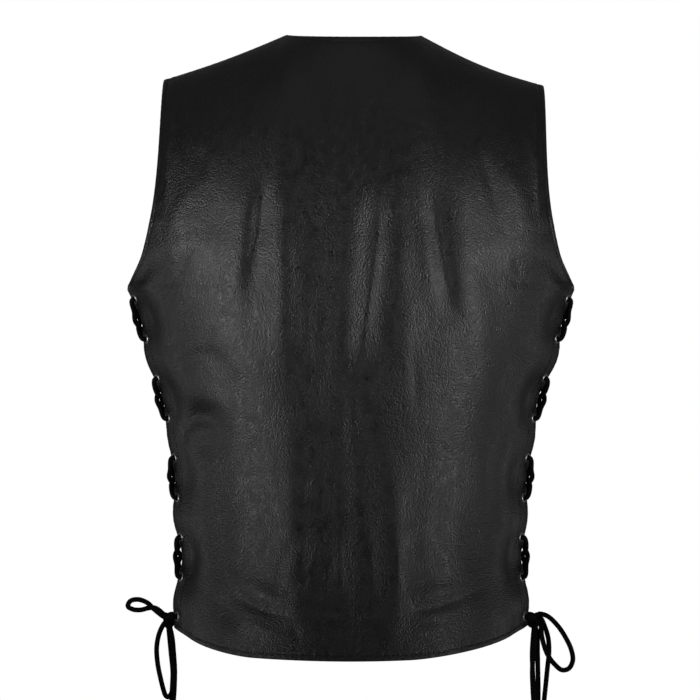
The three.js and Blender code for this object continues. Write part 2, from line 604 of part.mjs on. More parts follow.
// Bow loops and tails: points measured from the knot's centre, outwards from the body, backwards and upwards.
const BOWS = {
  left: {
    loop_a: [
      [5.6, 3.5, 6.4], [13, 4, 11.5], [20, 3, 11.5], [28, 2, 9.5], [36, 1, 9.8], [41.5, 0, 13], [39, -1.5, 18.2],
      [31, -2.5, 19.6], [22, -3, 16.2], [15, -3.5, 9.5], [7.6, -3.8, 3.6],
    ],
    loop_b: [
      [5.4, 6.4, -6.4], [9, 8, -14], [11.5, 9, -28], [10.5, 9.5, -44], [7, 9, -60], [3.5, 5.5, -74], [0.5, 0.5, -79.5],
      [-3.2, -4.5, -74], [-4.8, -6, -60], [-3.6, -5.5, -44], [-1.8, -4.5, -28], [-0.6, -3.2, -14], [-0.4, -1.8, -9.3],
    ],
    tail_a: [
      [0.8, -7.2, -6.4], [0.2, -10.5, -16], [-1.4, -11.5, -34], [-3.4, -12, -56], [-2.6, -12, -76], [-2.2, -11.5, -96],
      [-3.4, -11.5, -116], [-4.2, -12, -136], [-3.6, -12.5, -158],
    ],
    tail_b: [
      [-1.5, 4.6, -8.2], [-4, 5.5, -18], [-5.5, 5, -34], [-6.5, 3.5, -52], [-6, 2, -70], [-5, 1.5, -86],
      [-5, 1, -102], [-6.6, 0, -120], [-7, -0.5, -142],
    ],
  },
  right: {
    loop_a: [
      [5.8, 3.2, 6.6], [14, 4, 3.6], [24, 4.5, -5.5], [32.5, 4.5, -18], [38.5, 4, -31], [40, 3, -42], [36, 2.5, -50],
      [29, 2.5, -51.5], [21, 3, -45], [14.5, 3.5, -36], [10, 4, -24], [7.8, 4, -12], [7.6, 3.6, -4.2],
    ],
    loop_b: [
      [1.6, 5.6, -8.4], [1, 8, -18], [-0.6, 8.5, -34], [-1.6, 8.5, -52], [-1, 8, -70], [0.4, 6, -88], [3, 1.5, -96],
      [5, -3, -90], [5.4, -4, -70], [5, -3.6, -52], [4.6, -3, -34], [4.2, -1.8, -18], [2.4, -0.8, -9.2],
    ],
    tail_a: [
      [8.2, -2.8, 0.6], [12, -3.4, -8], [15.6, -4.2, -20], [16.4, -4.4, -34], [14.8, -4.2, -50], [13.2, -4, -66],
      [11.4, -4.4, -84], [10.2, -5, -104], [10.8, -5.4, -124], [12, -5.6, -144],
    ],
    tail_b: [
      [1.2, -6.4, -7.2], [0.6, -9, -18], [-0.4, -10, -36], [0.2, -10.4, -56], [1.2, -10.4, -76], [0.6, -10, -98],
      [-0.8, -10.4, -120], [-1, -11, -150],
    ],
  },
};
const BOW_STEPS_PER_POINT = 1.4;

function bowPiece(centre, outward, name, points) {
  const placed = points.map(([out, back, up]) => new THREE.Vector3(outward * out, back, up));
  placed[0] = seatOnKnot(placed[0], placed[1]);
  if (name.startsWith("loop")) placed.push(seatOnKnot(placed.pop(), placed.at(-1)));
  placed.forEach((point) => point.add(centre));
  return tube(new Route(placed), Math.round((points.length - 1) * BOW_STEPS_PER_POINT));
}

const vest = new THREE.Group();
vest.name = "side_laced_vest";

function add(name, geometry, material) {
  const mesh = new THREE.Mesh(geometry, material);
  mesh.name = name;
  vest.add(mesh);
}

const columnsFrom = (count, low, high) => Array.from({ length: count + 1 }, (_, i) => lerp(low, high, i / count));
const backColumns = columnsFrom(2 * (BACK_COLUMNS + 1), -1, 1);
const frontColumns = columnsFrom(FRONT_COLUMNS + 2, 0, 1);
const back = wallPanel(backSurface, backColumns, -1);
const leftFront = wallPanel(leftFrontSurface, frontColumns, 1);
const rightFront = wallPanel(rightFrontSurface, frontColumns, -1);

const framesOf = (outer, column) => EYELET_HEIGHTS.map((_, i) => patchFrame(outer, i, column));
const sides = {
  left: { outward: 1, back: framesOf(back.outer, backColumns.length - 2), front: framesOf(leftFront.outer, FRONT_COLUMNS + 1) },
  right: { outward: -1, back: framesOf(back.outer, 0), front: framesOf(rightFront.outer, FRONT_COLUMNS + 1) },
};
const snapFrames = SNAP_ROWS.map((row) => patchFrame(leftFront.outer, row, 0));

const backHoles = drill(back.geometry, [...sides.left.back, ...sides.right.back], HOLE_RADIUS);
const drillFront = (front, eyelets) => drill(drill(front.geometry, eyelets, HOLE_RADIUS), snapFrames, SNAP.hole);
add("back_panel", backHoles, LEATHER);
add("front_left", drillFront(leftFront, sides.left.front), LEATHER_FRONT);
add("front_right", drillFront(rightFront, sides.right.front), LEATHER_FRONT);

for (const [side, frames] of Object.entries(sides)) {
  for (const panel of ["back", "front"]) {
    frames[panel].forEach((frame, i) => add(`eyelet_${panel}_${side}_${i + 1}`, eyelet(frame), NICKEL));
  }
  const centre = knotCentre(frames);
  add(`lace_${side}`, lacing(frames), CORD);
  add(`bow_knot_${side}`, knot(centre), CORD);
  for (const [piece, points] of Object.entries(BOWS[side])) {
    add(`bow_${piece}_${side}`, bowPiece(centre, frames.outward, piece, points), CORD);
  }
}
snapFrames.forEach((frame, i) => add(`snap_${i + 1}`, snap(frame), NICKEL));

export default vest;
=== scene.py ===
import math
from collections import namedtuple

import bmesh
import bpy
import numpy as np
from bpy.props import FloatProperty, FloatVectorProperty, IntProperty, PointerProperty
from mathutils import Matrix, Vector, noise


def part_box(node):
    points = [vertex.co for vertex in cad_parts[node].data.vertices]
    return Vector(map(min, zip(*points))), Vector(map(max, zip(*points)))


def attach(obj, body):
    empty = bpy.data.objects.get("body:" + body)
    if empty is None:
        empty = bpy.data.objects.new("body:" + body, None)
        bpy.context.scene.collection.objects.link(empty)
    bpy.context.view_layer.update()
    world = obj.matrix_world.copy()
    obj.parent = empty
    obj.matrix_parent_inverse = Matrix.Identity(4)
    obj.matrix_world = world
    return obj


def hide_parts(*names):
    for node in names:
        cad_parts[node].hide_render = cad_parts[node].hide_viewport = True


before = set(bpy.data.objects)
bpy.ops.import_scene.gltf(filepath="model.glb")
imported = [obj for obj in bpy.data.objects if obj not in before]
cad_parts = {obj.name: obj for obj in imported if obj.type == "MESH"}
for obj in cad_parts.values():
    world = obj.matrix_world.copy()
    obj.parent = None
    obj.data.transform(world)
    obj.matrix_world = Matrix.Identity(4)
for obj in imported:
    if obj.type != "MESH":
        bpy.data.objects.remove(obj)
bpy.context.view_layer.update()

bl_info = {
    "name": "Side-Laced Leather Vest",
    "version": (1, 0, 0),
    "blender": (4, 5, 0),
    "location": "View3D > Sidebar > Vest",
    "description": "A black leather vest with laced sides, in the hollow form that it keeps when it is worn",
    "category": "Add Mesh",
}

# Lengths in this script are millimetres, and meshes are made in metres.
# The wearer faces -Y, and the wearer's left is +X.
MM = 0.001


def linear(colour):
    """An sRGB hex value as linear red, green and blue."""
    parts = [int(colour[i:i + 2], 16) / 255 for i in (1, 3, 5)]
    return tuple(c / 12.92 if c <= 0.04045 else ((c + 0.055) / 1.055) ** 2.4 for c in parts)


# Sizes of the leather panels
SEAM_GAP = 0.5
LAP = 13
LAP_GAP = 0.8
BLADE_LEVEL = -170
EYELET_ROWS = 9
EYELET_PITCH = 40.2
TOP_EYELET = -245.3
ARMHOLE_FOOT = TOP_EYELET + 9
LOWEST_LEVEL = TOP_EYELET - (EYELET_ROWS - 1) * EYELET_PITCH - 6.5
BACK_HEM = -602
FRONT_HEM = -603
V_FOOT = -262
V_POWER = 0.9  # below 1 the V's sides bulge a little outwards
UNDERLAP_EASE = 45  # how far past the lap the under front comes out again to its own form
UNDERLAP_LEVELS = (V_FOOT + 50, V_FOOT + 110)
NECK_HALF_WIDTH = 68
NAPE_DEPTH = 70
NECK_POINT_HEIGHT = 24
NAPE_DROP = 9.5
SHOULDER_TIP_ACROSS = 193
SHOULDER_TIP_HEIGHT = -24.5
SHOULDER_SAG = {"left": 2.2, "right": 5.5}
NAPE_TURN = 58
SIDE_GAP = 18
SIDE_STRIP = 18
HEM_WIDTH = 232
HEM_RISE = 8
HEM_CORNER_RISE = {"left": 15.5, "right": 18}
HEM_CORNER_REACH = {"left": 105, "right": 150}
HEM_CORNER_POWER = 1.5
LEAN_SHIFT = -3.1
LEAN_DROP = 3.1
SCALLOP_REACH = 52
FRONT_ARMHOLE_SCOOP = 11
INWARD_POWERS = (2, 6)  # how early the leather turns in above the blades: at the middle, and at the armhole
BACK_COLUMNS = 19
BACK_STRIP = BACK_COLUMNS / (BACK_COLUMNS + 1)
NECK_SHARE = 7 / (BACK_COLUMNS + 1)
EASE_REACH = 0.35
EASE = (-1, -0.6, -0.2, 0.2, 0.6, 1)
FRONT_COLUMNS = 10
FRONT_STRIP = (FRONT_COLUMNS + 1) / (FRONT_COLUMNS + 2)
LAP_STRIP = 1 / (FRONT_COLUMNS + 2)
SECTION_POWER = 2.35

Section = namedtuple("Section", "height half_width back front")
TORSO = [
    Section(-610, 179.5, 106, 107),
    Section(-567, 180, 103, 105),
    Section(-527, 177.5, 100, 103),
    Section(-486, 178.5, 98, 101),
    Section(-446, 180.5, 98, 101),
    Section(-406, 183.5, 100, 103),
    Section(-366, 190, 105, 107),
    Section(-326, 201.5, 110, 111),
    Section(-286, 214, 115, 114),
    Section(-236, 227.5, 119, 115),
    Section(-200, 232, 120, 114),
    Section(-170, 235, 119, 112),
]
Armhole = namedtuple("Armhole", "height back front")
ARMHOLE = [
    Armhole(ARMHOLE_FOOT, 227.2, 227.2),
    Armhole(-226, 221, 216),
    Armhole(-206, 210.5, 201),
    Armhole(-186, 204.5, 190),
    Armhole(BLADE_LEVEL, 201, 184),
]

# How far the side edges swing out half-way between two eyelets. They swing in where the lace crosses outside.
Scallop = namedtuple("Scallop", "height left right")
SCALLOP_SWINGS = [(-6, -4.5), (1, 2.5), (-3.5, -4.5), (1, 1.5), (-2.5, -3), (2, 1), (-5.5, -4), (2, 2.5)]
SCALLOPS = [
    Scallop(ARMHOLE_FOOT, 0, 0),
    *[Scallop(TOP_EYELET - (i + 0.5) * EYELET_PITCH, *swing) for i, swing in enumerate(SCALLOP_SWINGS)],
    Scallop(LOWEST_LEVEL, 0, 0),
]

# The laces pull the sides in to a blunt ridge: the leather dips most at some way from its side edge.
TUCK_DEPTH = 8
TUCK_DEEPEST = 28
TUCK_REACH = 125
TUCK_LEVELS = (-240, -190)

# The folds that the solids have too. Troughs are negative.
Fold = namedtuple("Fold", "top bottom across_top across_bottom width rise")
BACK_FOLDS = [
    Fold(-118, -262, 84, 100, 9, -1.8),
    Fold(-112, -275, 102, 118, 15, 1.8),
    Fold(-112, -345, 66, 66, 12, 2),
    Fold(-90, -610, 40, 26, 20, -1.8),
    Fold(-118, -350, -25, -7, 13, -3.4),
    Fold(-140, -360, -40, -62, 12, 1),
    Fold(-128, -288, -72, -102, 10, -1.8),
    Fold(-85, -370, -97, -138, 17, 2.2),
    Fold(-310, -612, -3, -16, 16, -2.2),
    Fold(-395, -600, -44, -46, 13, 1.7),
    Fold(-330, -600, 60, 52, 20, 1.8),
    Fold(-342, -410, 152, 148, 20, -2.5),
]
FRONT_FOLDS = [
    Fold(-150, -300, 118, 92, 14, -2),
    Fold(-170, -330, 148, 130, 14, 2),
    Fold(-330, -600, 62, 70, 20, 2.2),
    Fold(-370, -600, 108, 112, 18, -2),
]
FOLD_FADES = (0.3, 0.65)

# Smaller creases: two ends, how far the middle bows, width and rise.
# A crease bows towards +X, or down where it runs level.
Crease = namedtuple("Crease", "x1 z1 x2 z2 bow width rise")
BACK_CREASES = [
    # the centre's folds
    Crease(-28, -140, -3, -318, -6, 4.5, -0.9),
    Crease(0, -330, -2, -400, 0, 6, -0.7),
    Crease(-40, -150, -42, -180, 0, 3, 0.5),
    Crease(44, -240, 40, -330, 0, 5, -0.6),
    Crease(52, -135, 48, -200, 0, 4, 0.35),
    Crease(-68, -150, -82, -262, 0, 6, 0.7),
    Crease(-60, -280, -66, -370, 0, 5, -0.6),
    # the blades' outer folds
    Crease(87, -128, 105, -240, -4, 4.5, -0.8),
    Crease(100, -240, 97, -295, 0, 5, -0.5),
    Crease(-78, -140, -104, -268, 3, 4.5, -0.8),
    Crease(-124, -98, -148, -186, -4, 7, -1.5),
    Crease(-158, -196, -178, -238, 2, 5, -0.7),
    Crease(-152, -205, -166, -226, 0, 3, 0.5),
    Crease(-150, -216, -172, -240, 0, 2.5, -0.5),
    # the creases that run in from the armholes
    Crease(148, -95, 150, -128, 0, 5, -0.7),
    Crease(144, -128, 184, -188, 5, 9, 0.8),
    Crease(154, -190, 172, -226, 2, 5, -1.2),
    Crease(128, -150, 140, -205, 2, 7, -0.7),
    Crease(-150, -110, -172, -180, -3, 9, 0.9),
    # the dents at the waist
    Crease(178, -318, 116, -334, -24, 9, -1.4),
    Crease(184, -318, 104, -366, 2, 14, 1.8),
    Crease(180, -398, 122, -378, -24, 8, -1.9),
    Crease(172, -402, 130, -392, -16, 9, 1.0),
    Crease(-158, -345, -146, -500, 4, 8, -1.5),
    Crease(-170, -290, -150, -356, -3, 9, -1.2),
    Crease(-88, -390, -102, -404, 0, 4, -0.5),
    # the hem's level folds, along the top of the turned hem
    Crease(126, -532, 54, -560, 4, 5.5, -1.8),
    Crease(116, -520, 58, -546, 3, 9, 1.4),
    Crease(-48, -553, -136, -531, 4, 5.5, -1.6),
    Crease(-52, -538, -106, -530, 3, 10, 1.3),
    Crease(104, -562, 60, -576, 4, 5, 0.9),
    Crease(-56, -570, -96, -576, 0, 6, 0.9),
    Crease(52, -556, 0, -560, 1, 4, -0.7),
    Crease(-2, -560, -46, -556, 1, 4, -0.7),
    Crease(58, -566, 50, -582, 0, 4, -0.8),
    # fine pleats that run down to the hem
    Crease(38, -415, 48, -445, 2, 3.5, 0.6),
    Crease(40, -470, 50, -512, 3, 4, 0.6),
    Crease(28, -478, 42, -540, 4, 4, -0.6),
    Crease(54, -482, 74, -540, 4, 4.5, -0.7),
    Crease(12, -472, 10, -548, 0, 4, 0.7),
    Crease(18, -500, 26, -552, 2, 3, -0.5),
    Crease(36, -512, 56, -550, 3, 3, 0.6),
    Crease(70, -470, 92, -520, 4, 5, -0.5),
    Crease(86, -480, 104, -520, 4, 5, 0.5),
    Crease(-46, -480, -48, -540, 0, 4, 0.8),
    Crease(-60, -505, -84, -530, -3, 4, -0.4),
    Crease(-20, -460, -22, -550, 0, 6, -0.5),
    # the sides below the waist
    Crease(132, -400, 122, -540, 3, 14, -1.3),
    Crease(-122, -430, -128, -540, -2, 14, -1.0),
    Crease(130, -538, 118, -574, 0, 9, -1.4),
    # the shoulders
    Crease(30, -40, 26, -100, 0, 12, 0.6),
    Crease(4, -60, 8, -128, 0, 10, 0.5),
    Crease(-28, -58, -24, -120, 0, 8, 0.5),
    Crease(96, -36, 92, -90, 0, 14, 0.6),
    Crease(-88, -48, -104, -100, 0, 12, -0.6),
    Crease(62, -60, 60, -150, 0, 8, -0.5),
]
FRONT_CREASES = [
    Crease(160, -190, 122, -262, 6, 8, -1.4),
    Crease(150, -225, 118, -300, 4, 7, 1.0),
    Crease(40, -300, 34, -420, 3, 7, -1.0),
    Crease(90, -250, 78, -380, -3, 8, -1.0),
    Crease(130, -330, 150, -420, 4, 9, -1.6),
    Crease(172, -380, 124, -366, -16, 7, -1.8),
    Crease(140, -430, 134, -560, -3, 9, 1.2),
    Crease(52, -470, 60, -590, 2, 8, -1.0),
    Crease(120, -534, 50, -556, 3, 5.5, -1.2),
    Crease(112, -522, 60, -544, 3, 9, 0.9),
    Crease(120, -80, 132, -160, 2, 9, -1.0),
    Crease(96, -60, 104, -140, 0, 9, 0.8),
]

# Grid of a panel: counts of steps
HEM_STEPS = 16
BODY_STEPS = 140
SHOULDER_STEPS = 58
TOP_EDGE_STEPS = 8
BACK_STEPS = 72
FRONT_STEPS = 62
LAP_STEPS = 14
STRIP_STEPS = 14
ROUND_STEPS = 4  # round a turned edge

# Slow unevenness of the leather: rise, lengths across and along the body, and where it fades near an edge
UNEVEN_RISE = 0.7
UNEVEN_LENGTHS = (48, 95)
UNEVEN_FADE = (4, 30)
UNEVEN_SEEDS = {"back": 3.0, "left": 11.0, "right": 17.0}

# Where the leather is drawn flat under the metal: radius of the flat, and how much further it eases off
EYELET_FLAT = (6.2, 6)
SNAP_FLAT = (8.5, 5)
METAL_REACH = 12  # leather further than this above or below a piece of metal isn't under it
HOLE_RADIUS = 3.7
EYELET_PAD = (8, 10)  # from doubled leather round an eyelet to the single layer

# Heights of the metal's tops over the leather
EYELET_STANDS = 1.02
SNAP_STANDS = 2.6
SNAPS = 4

# Turned edges and their rows of stitches
TURNING = 11.5  # width of the leather that is turned to the inside
STEP_WIDTH = 1.2  # from the doubled leather to the single layer
HEM_ROW = 4.6
NECK_ROW = 6.5
SHOULDER_ROW = 3.2
ARMHOLE_ROW = 4.6
EDGE_ROW = 3.2
FACING_ROW = 19.0
FACING_WIDTH = FACING_ROW + 3
FACING_TOP = ARMHOLE_FOOT - 4
LAP_ROW = 5.0
SIDE_ROW_END = ARMHOLE_FOOT - 3
ARMHOLE_ROW_END = BLADE_LEVEL + 150
GROOVE_WIDTH = 1.1
GROOVE_DEPTH = 0.38
ROLL_RISE = 0.22
ROLL_LIMIT = 10  # rows further than this from their edge have no roll beside them
PUCKER_LENGTH = 9.0
PUCKER_REACH = 9.0
PUCKER_RISE = 0.16
SEAM_BREAK = 12.0  # a longer step between two points of a row crosses an opening
SHORTEST_STITCH = 0.4  # share of a stitch's length, under which it is left out
STITCH_SIDES = 6
# Rings of a stitch: share of its length, share of its radius, and height over the leather
STITCH_RINGS = (
    (0.0, 0.0, -0.45),
    (0.12, 0.62, -0.05),
    (0.32, 1.0, 0.16),
    (0.68, 1.0, 0.16),
    (0.88, 0.62, -0.05),
    (1.0, 0.0, -0.45),
)

# Laces and knots
CAD_WALL = 2.0  # wall of the solids' leather
OVER_HOLE = 3.0  # where a strand turns over a hole
LIFT = 5.8  # of the strand between the top eyelets, and of the leads to the knot
LIFT_REACH = 4.3
OVER_EDGE = 3.5  # a strand over a panel's side edge
CROSS_LOW = 0  # the lower and the upper of two crossing strands
CROSS_HIGH = 5.4
KNOT_HALF_DEPTH = 5.6
KNOT_HALF_WIDTH = 7.4
KNOT_HALF_HEIGHT = 8.0
KNOT_LEAD = 1.7
KNOT_STRAND = 2.75  # radius of the lace in the knot
KNOT_BITE = 2.6  # how far a lace end runs into its knot
KNOT_GAP = 0.35
KNOT_SIZE = np.array([KNOT_HALF_DEPTH, KNOT_HALF_WIDTH, KNOT_HALF_HEIGHT])
KNOT_SPREAD = (0.6, 1.6, 1.4)  # added to the reach of the knot's turns, so that they fill its size
KNOT_POINTS = 73
LEAD_RISES = (2, 1.5)  # over the knot's centre, beside the knot and in it
LINE_STEPS = 40  # between two points of a route
BRAID_SIDES = 24
BRAID_STEP = 0.62
BRAID_WAVES = 6  # round the lace: each wave is two plaits side by side
BRAID_PITCH = 2.6  # between two crossings along the lace
BRAID_RELIEF = 0.3
# A lace's blunt end, as shares of its radius: the rim's radius, how far the rim stands out, and the middle
END_RIM = 0.69
END_STEP = 0.35
END_MIDDLE = 0.45

# Bow loops and tails: points measured from the knot's centre, outwards from the body, backwards and upwards.
BOWS = {
    "left": {
        "loop_a": [
            (5.6, 3.5, 6.4), (13, 4, 11.5), (20, 3, 11.5), (28, 2, 9.5), (36, 1, 9.8), (41.5, 0, 13),
            (39, -1.5, 18.2), (31, -2.5, 19.6), (22, -3, 16.2), (15, -3.5, 9.5), (7.6, -3.8, 3.6),
        ],
        "loop_b": [
            (5.4, 6.4, -6.4), (9, 8, -14), (11.5, 9, -28), (10.5, 9.5, -44), (7.4, 9, -60), (4.8, 7.2, -71),
            (3, 4.6, -77), (0.4, 0.4, -79.6), (-2.4, -3.6, -76.6), (-4, -5.4, -70), (-4.8, -6, -60),
            (-3.6, -5.5, -44), (-1.8, -4.5, -28), (-0.6, -3.2, -14), (-0.4, -1.8, -9.3),
        ],
        "tail_a": [
            (0.8, -7.2, -6.4), (0.2, -10.5, -16), (-1.4, -11.5, -34), (-3.4, -12, -56), (-2.6, -12, -76),
            (-2.2, -11.5, -96), (-3.4, -11.5, -116), (-4.2, -12, -136), (-3.6, -12.5, -158),
        ],
        "tail_b": [
            (-1.5, 4.6, -8.2), (-4, 5.5, -18), (-5.5, 5, -34), (-6.5, 3.5, -52), (-6, 2, -70), (-5, 1.5, -86),
            (-5, 1, -102), (-6.6, 0, -120), (-7, -0.5, -142),
        ],
    },
    "right": {
        "loop_a": [
            (5.8, 3.2, 6.6), (14, 4, 3.6), (24, 4.5, -5.5), (32.5, 4.5, -18), (38.5, 4, -31), (40, 3, -42),
            (36, 2.5, -50), (29, 2.5, -51.5), (21, 3, -45), (14.5, 3.5, -36), (10, 4, -24), (7.8, 4, -12),
            (7.6, 3.6, -4.2),
        ],
        "loop_b": [
            (1.6, 5.6, -8.4), (1, 8, -18), (-0.6, 8.5, -34), (-1.6, 8.5, -52), (-1, 8.2, -70), (0, 7.4, -84),
            (1.6, 5, -92.6), (3.3, 1.2, -95.8), (4.8, -2.6, -92.4), (5.3, -4.4, -84), (5.4, -4.6, -70),
            (5, -3.8, -52), (4.6, -3, -34), (4.2, -1.8, -18), (2.4, -0.8, -9.2),
        ],
        "tail_a": [
            (8.2, -2.8, 0.6), (12, -3.4, -8), (15.6, -4.2, -20), (16.4, -4.4, -34), (14.8, -4.2, -50),
            (13.2, -4, -66), (11.4, -4.4, -84), (10.2, -5, -104), (10.8, -5.4, -124), (12, -5.6, -144),
        ],
        "tail_b": [
            (1.2, -6.4, -7.2), (0.6, -9, -18), (-0.4, -10, -36), (0.2, -10.4, -56), (1.2, -10.4, -76),
            (0.6, -10, -98), (-0.8, -10.4, -120), (-1, -11, -150),
        ],
    },
}
SIDES = {"left": 1, "right": -1}

# The stage
SENSOR_WIDTH = 36
CAMERA_SHIFT = 0.0009
SOFTBOX_LEVEL = -0.33
ROOM_FELT = 0.09  # the room's light on the leather, as a share of how bright it looks
FLOOR_GLOW = 0.72
FLOOR_RADIUS = 3000
FLOOR_SIDES = 96


def smooth(x, low, high):
    t = np.clip((x - low) / (high - low), 0, 1)
    return t * t * (3 - 2 * t)


def mix(a, b, t):
    return a + (b - a) * t


def at(table, column, height):
    """One column of a table at a height, on a smooth curve through its rows."""
    rows = sorted(table, key=lambda row: row.height)
    heights = np.array([row.height for row in rows], float)
    values = np.array([getattr(row, column) for row in rows], float)
    z = np.clip(height, heights[0], heights[-1])
    k = np.clip(np.searchsorted(heights, z, side="right") - 1, 0, len(rows) - 2)
    before = np.maximum(k - 1, 0)
    after = np.minimum(k + 2, len(rows) - 1)
    run = heights[k + 1] - heights[k]
    slope_in = (values[k + 1] - values[before]) / (heights[k + 1] - heights[before]) * run
    slope_out = (values[after] - values[k]) / (heights[after] - heights[k]) * run
    t = (z - heights[k]) / run
    p, q = values[k], values[k + 1]
    square = 3 * (q - p) - 2 * slope_in - slope_out
    cube = 2 * (p - q) + slope_in + slope_out
    return p + t * (slope_in + t * (square + t * cube))


def on_torso(face, angle, height):
    """Points of the torso's section at a height. The angle is counted from the middle of that face."""
    width = at(TORSO, "half_width", height)
    depth = at(TORSO, face, height)
    s, c = np.sin(angle), np.cos(angle)
    radius = (np.abs(s / width) ** SECTION_POWER + np.abs(c / depth) ** SECTION_POWER) ** (-1 / SECTION_POWER)
    facing = 1 if face == "back" else -1
    return np.stack([radius * s, facing * radius * c, height + 0 * radius], axis=-1)


def edge_angle(face, height):
    """The angle of a panel's outer edge: the side edge below the armhole's foot, the armhole above it."""
    width = at(TORSO, "half_width", height)
    share = np.minimum(at(ARMHOLE, face, height) / width, 1)
    depth = at(TORSO, face, height) * (1 - share**SECTION_POWER) ** (1 / SECTION_POWER)
    hole = np.arctan2(share * width, np.maximum(depth, SIDE_GAP / 2))
    return np.where(height <= ARMHOLE_FOOT, np.arctan2(width, SIDE_GAP / 2), hole)


def hem_rise(column, side):
    from_side = (1 - column) * HEM_WIDTH
    corner = np.maximum(1 - from_side / HEM_CORNER_REACH[side], 0) ** HEM_CORNER_POWER
    return HEM_RISE * column**2 + HEM_CORNER_RISE[side] * corner


def fold_height(folds, across, height):
    total = np.zeros_like(across)
    for fold in folds:
        t = (fold.top - height) / (fold.top - fold.bottom)
        middle = mix(fold.across_top, fold.across_bottom, t)
        along = smooth(t, 0, FOLD_FADES[0]) * (1 - smooth(t, FOLD_FADES[1], 1))
        total += fold.rise * along * np.exp(-(((across - middle) / fold.width) ** 2))
    return total


def crease_height(creases, across, height):
    """Creases between two points, deepest a little nearer to the first."""
    total = np.zeros_like(across)
    for crease in creases:
        run = np.array([crease.x2 - crease.x1, crease.z2 - crease.z1])
        length = np.hypot(*run)
        along, side = run / length, np.array([-run[1], run[0]]) / length
        dx, dz = across - crease.x1, height - crease.z1
        t = (dx * along[0] + dz * along[1]) / length
        off = dx * side[0] + dz * side[1] - crease.bow * 4 * t * (1 - t)
        taper = smooth(t, -0.1, 0.4) * (1 - smooth(t, 0.5, 1.1))
        total += crease.rise * taper * np.exp(-((off / crease.width) ** 2))
    return total


def scallop(side, column, height):
    start, whole = 1 - SCALLOP_REACH / HEM_WIDTH, 1 - SIDE_STRIP / HEM_WIDTH
    inside = (height < ARMHOLE_FOOT) & (height > LOWEST_LEVEL)
    return np.where(inside, at(SCALLOPS, side, height), 0) * smooth(column, start, whole)


def tuck(column, height):
    from_edge = (1 - column) * HEM_WIDTH
    rising = np.sin(math.pi / 2 * np.minimum(from_edge / TUCK_DEEPEST, 1))
    share = rising * (1 - smooth(from_edge, TUCK_DEEPEST, TUCK_REACH))
    return -TUCK_DEPTH * share * (1 - smooth(height, *TUCK_LEVELS))


def lean(points):
    share = smooth(points[..., 2], ARMHOLE_FOOT, NECK_POINT_HEIGHT)
    across = points[..., 0] / SHOULDER_TIP_ACROSS
    leant = points.copy()
    leant[..., 0] += LEAN_SHIFT * share
    leant[..., 2] += LEAN_DROP * across * np.abs(across) * share
    return leant


def over_shoulder(low, top, turn, share, column, scoop):
    """Carries points of the blade level over the shoulder to their places on the panel's top edge."""
    bend = np.radians(turn) * share
    sin_top, cos_top = np.sin(np.radians(turn)), np.cos(np.radians(turn))
    inward = 1 - (1 - share) ** mix(*INWARD_POWERS, column**4)
    x = mix(low[..., 0], top[..., 0], inward) - np.sign(low[..., 0]) * scoop * np.sin(math.pi * share)
    y = top[..., 1] + (low[..., 1] - top[..., 1]) * (np.cos(bend) - cos_top) / (1 - cos_top)
    z = low[..., 2] + (top[..., 2] - low[..., 2]) * np.sin(bend) / sin_top
    return np.stack([x, y, z], axis=-1)


def shoulder_seam(share, facing, side):
    sag = SHOULDER_SAG[side] * np.sin(math.pi * share)
    x = mix(NECK_HALF_WIDTH, SHOULDER_TIP_ACROSS, share)
    z = mix(NECK_POINT_HEIGHT, SHOULDER_TIP_HEIGHT, share) - sag
    return np.stack([x, facing * SEAM_GAP / 2 + 0 * x, z], axis=-1)


def neck_and_shoulder(column, side):
    share = np.clip((column - NECK_SHARE) / (1 - NECK_SHARE), 0, 1)
    seam = shoulder_seam(share, 1, side)
    turn = math.pi / 2 * np.clip(column / NECK_SHARE, 0, 1)
    depth = SEAM_GAP / 2 + (NAPE_DEPTH - SEAM_GAP / 2) * np.cos(turn)
    height = NECK_POINT_HEIGHT - NAPE_DROP * depth / NAPE_DEPTH
    neck = np.stack([NECK_HALF_WIDTH * np.sin(turn), depth, height], axis=-1)
    return np.where((column >= NECK_SHARE)[..., None], seam, neck)


def back_top(column, reach, side):
    """The back's top edge, with its corner at the neck point eased for the leather below it."""
    total = 0
    for k in EASE:
        place = column + k * reach
        point = neck_and_shoulder(np.minimum(np.abs(place), 1), side)
        point[..., 0] *= np.where(place < 0, -1, 1)
        total = total + point
    return total / len(EASE)


def column_angle(inner, outer, strip, column, height):
    """A column's angle: even steps up to the side strip, drawn in beside an armhole, and then the strip."""
    width = at(TORSO, "half_width", height)
    strip_angle = outer - SIDE_STRIP / width
    full = np.arctan2(width, SIDE_GAP / 2) - SIDE_STRIP / width
    share = column / strip
    inside = mix(inner, full, share) - (full - strip_angle) * share**3
    beyond = mix(strip_angle, outer, (column - strip) / (1 - strip))
    return np.where(column > strip, beyond, inside)


def level_of(v, hem):
    return np.where(v < 1, mix(hem, LOWEST_LEVEL, v), mix(LOWEST_LEVEL, BLADE_LEVEL, np.minimum(v, 2) - 1))


def half_back(column, v, side):
    level = level_of(v, BACK_HEM + hem_rise(column, side))
    angle = column_angle(0, edge_angle("back", level), BACK_STRIP, column, level)
    low = on_torso("back", angle, level)
    share = np.clip(v - 2, 0, 1)
    turn = mix(NAPE_TURN, 90, smooth(column, 0, NECK_SHARE))
    reach = np.minimum(EASE_REACH * (1 - share), 1 - column)
    over = over_shoulder(low, back_top(column, reach, side), turn, share, column, 0)
    return np.where((v > 2)[..., None], over, low)


def back_form(u, v):
    left, right = half_back(np.abs(u), v, "left"), half_back(np.abs(u), v, "right")
    points = np.where((u < 0)[..., None], right, left)
    points[..., 0] *= np.where(u < 0, -1, 1)
    return points


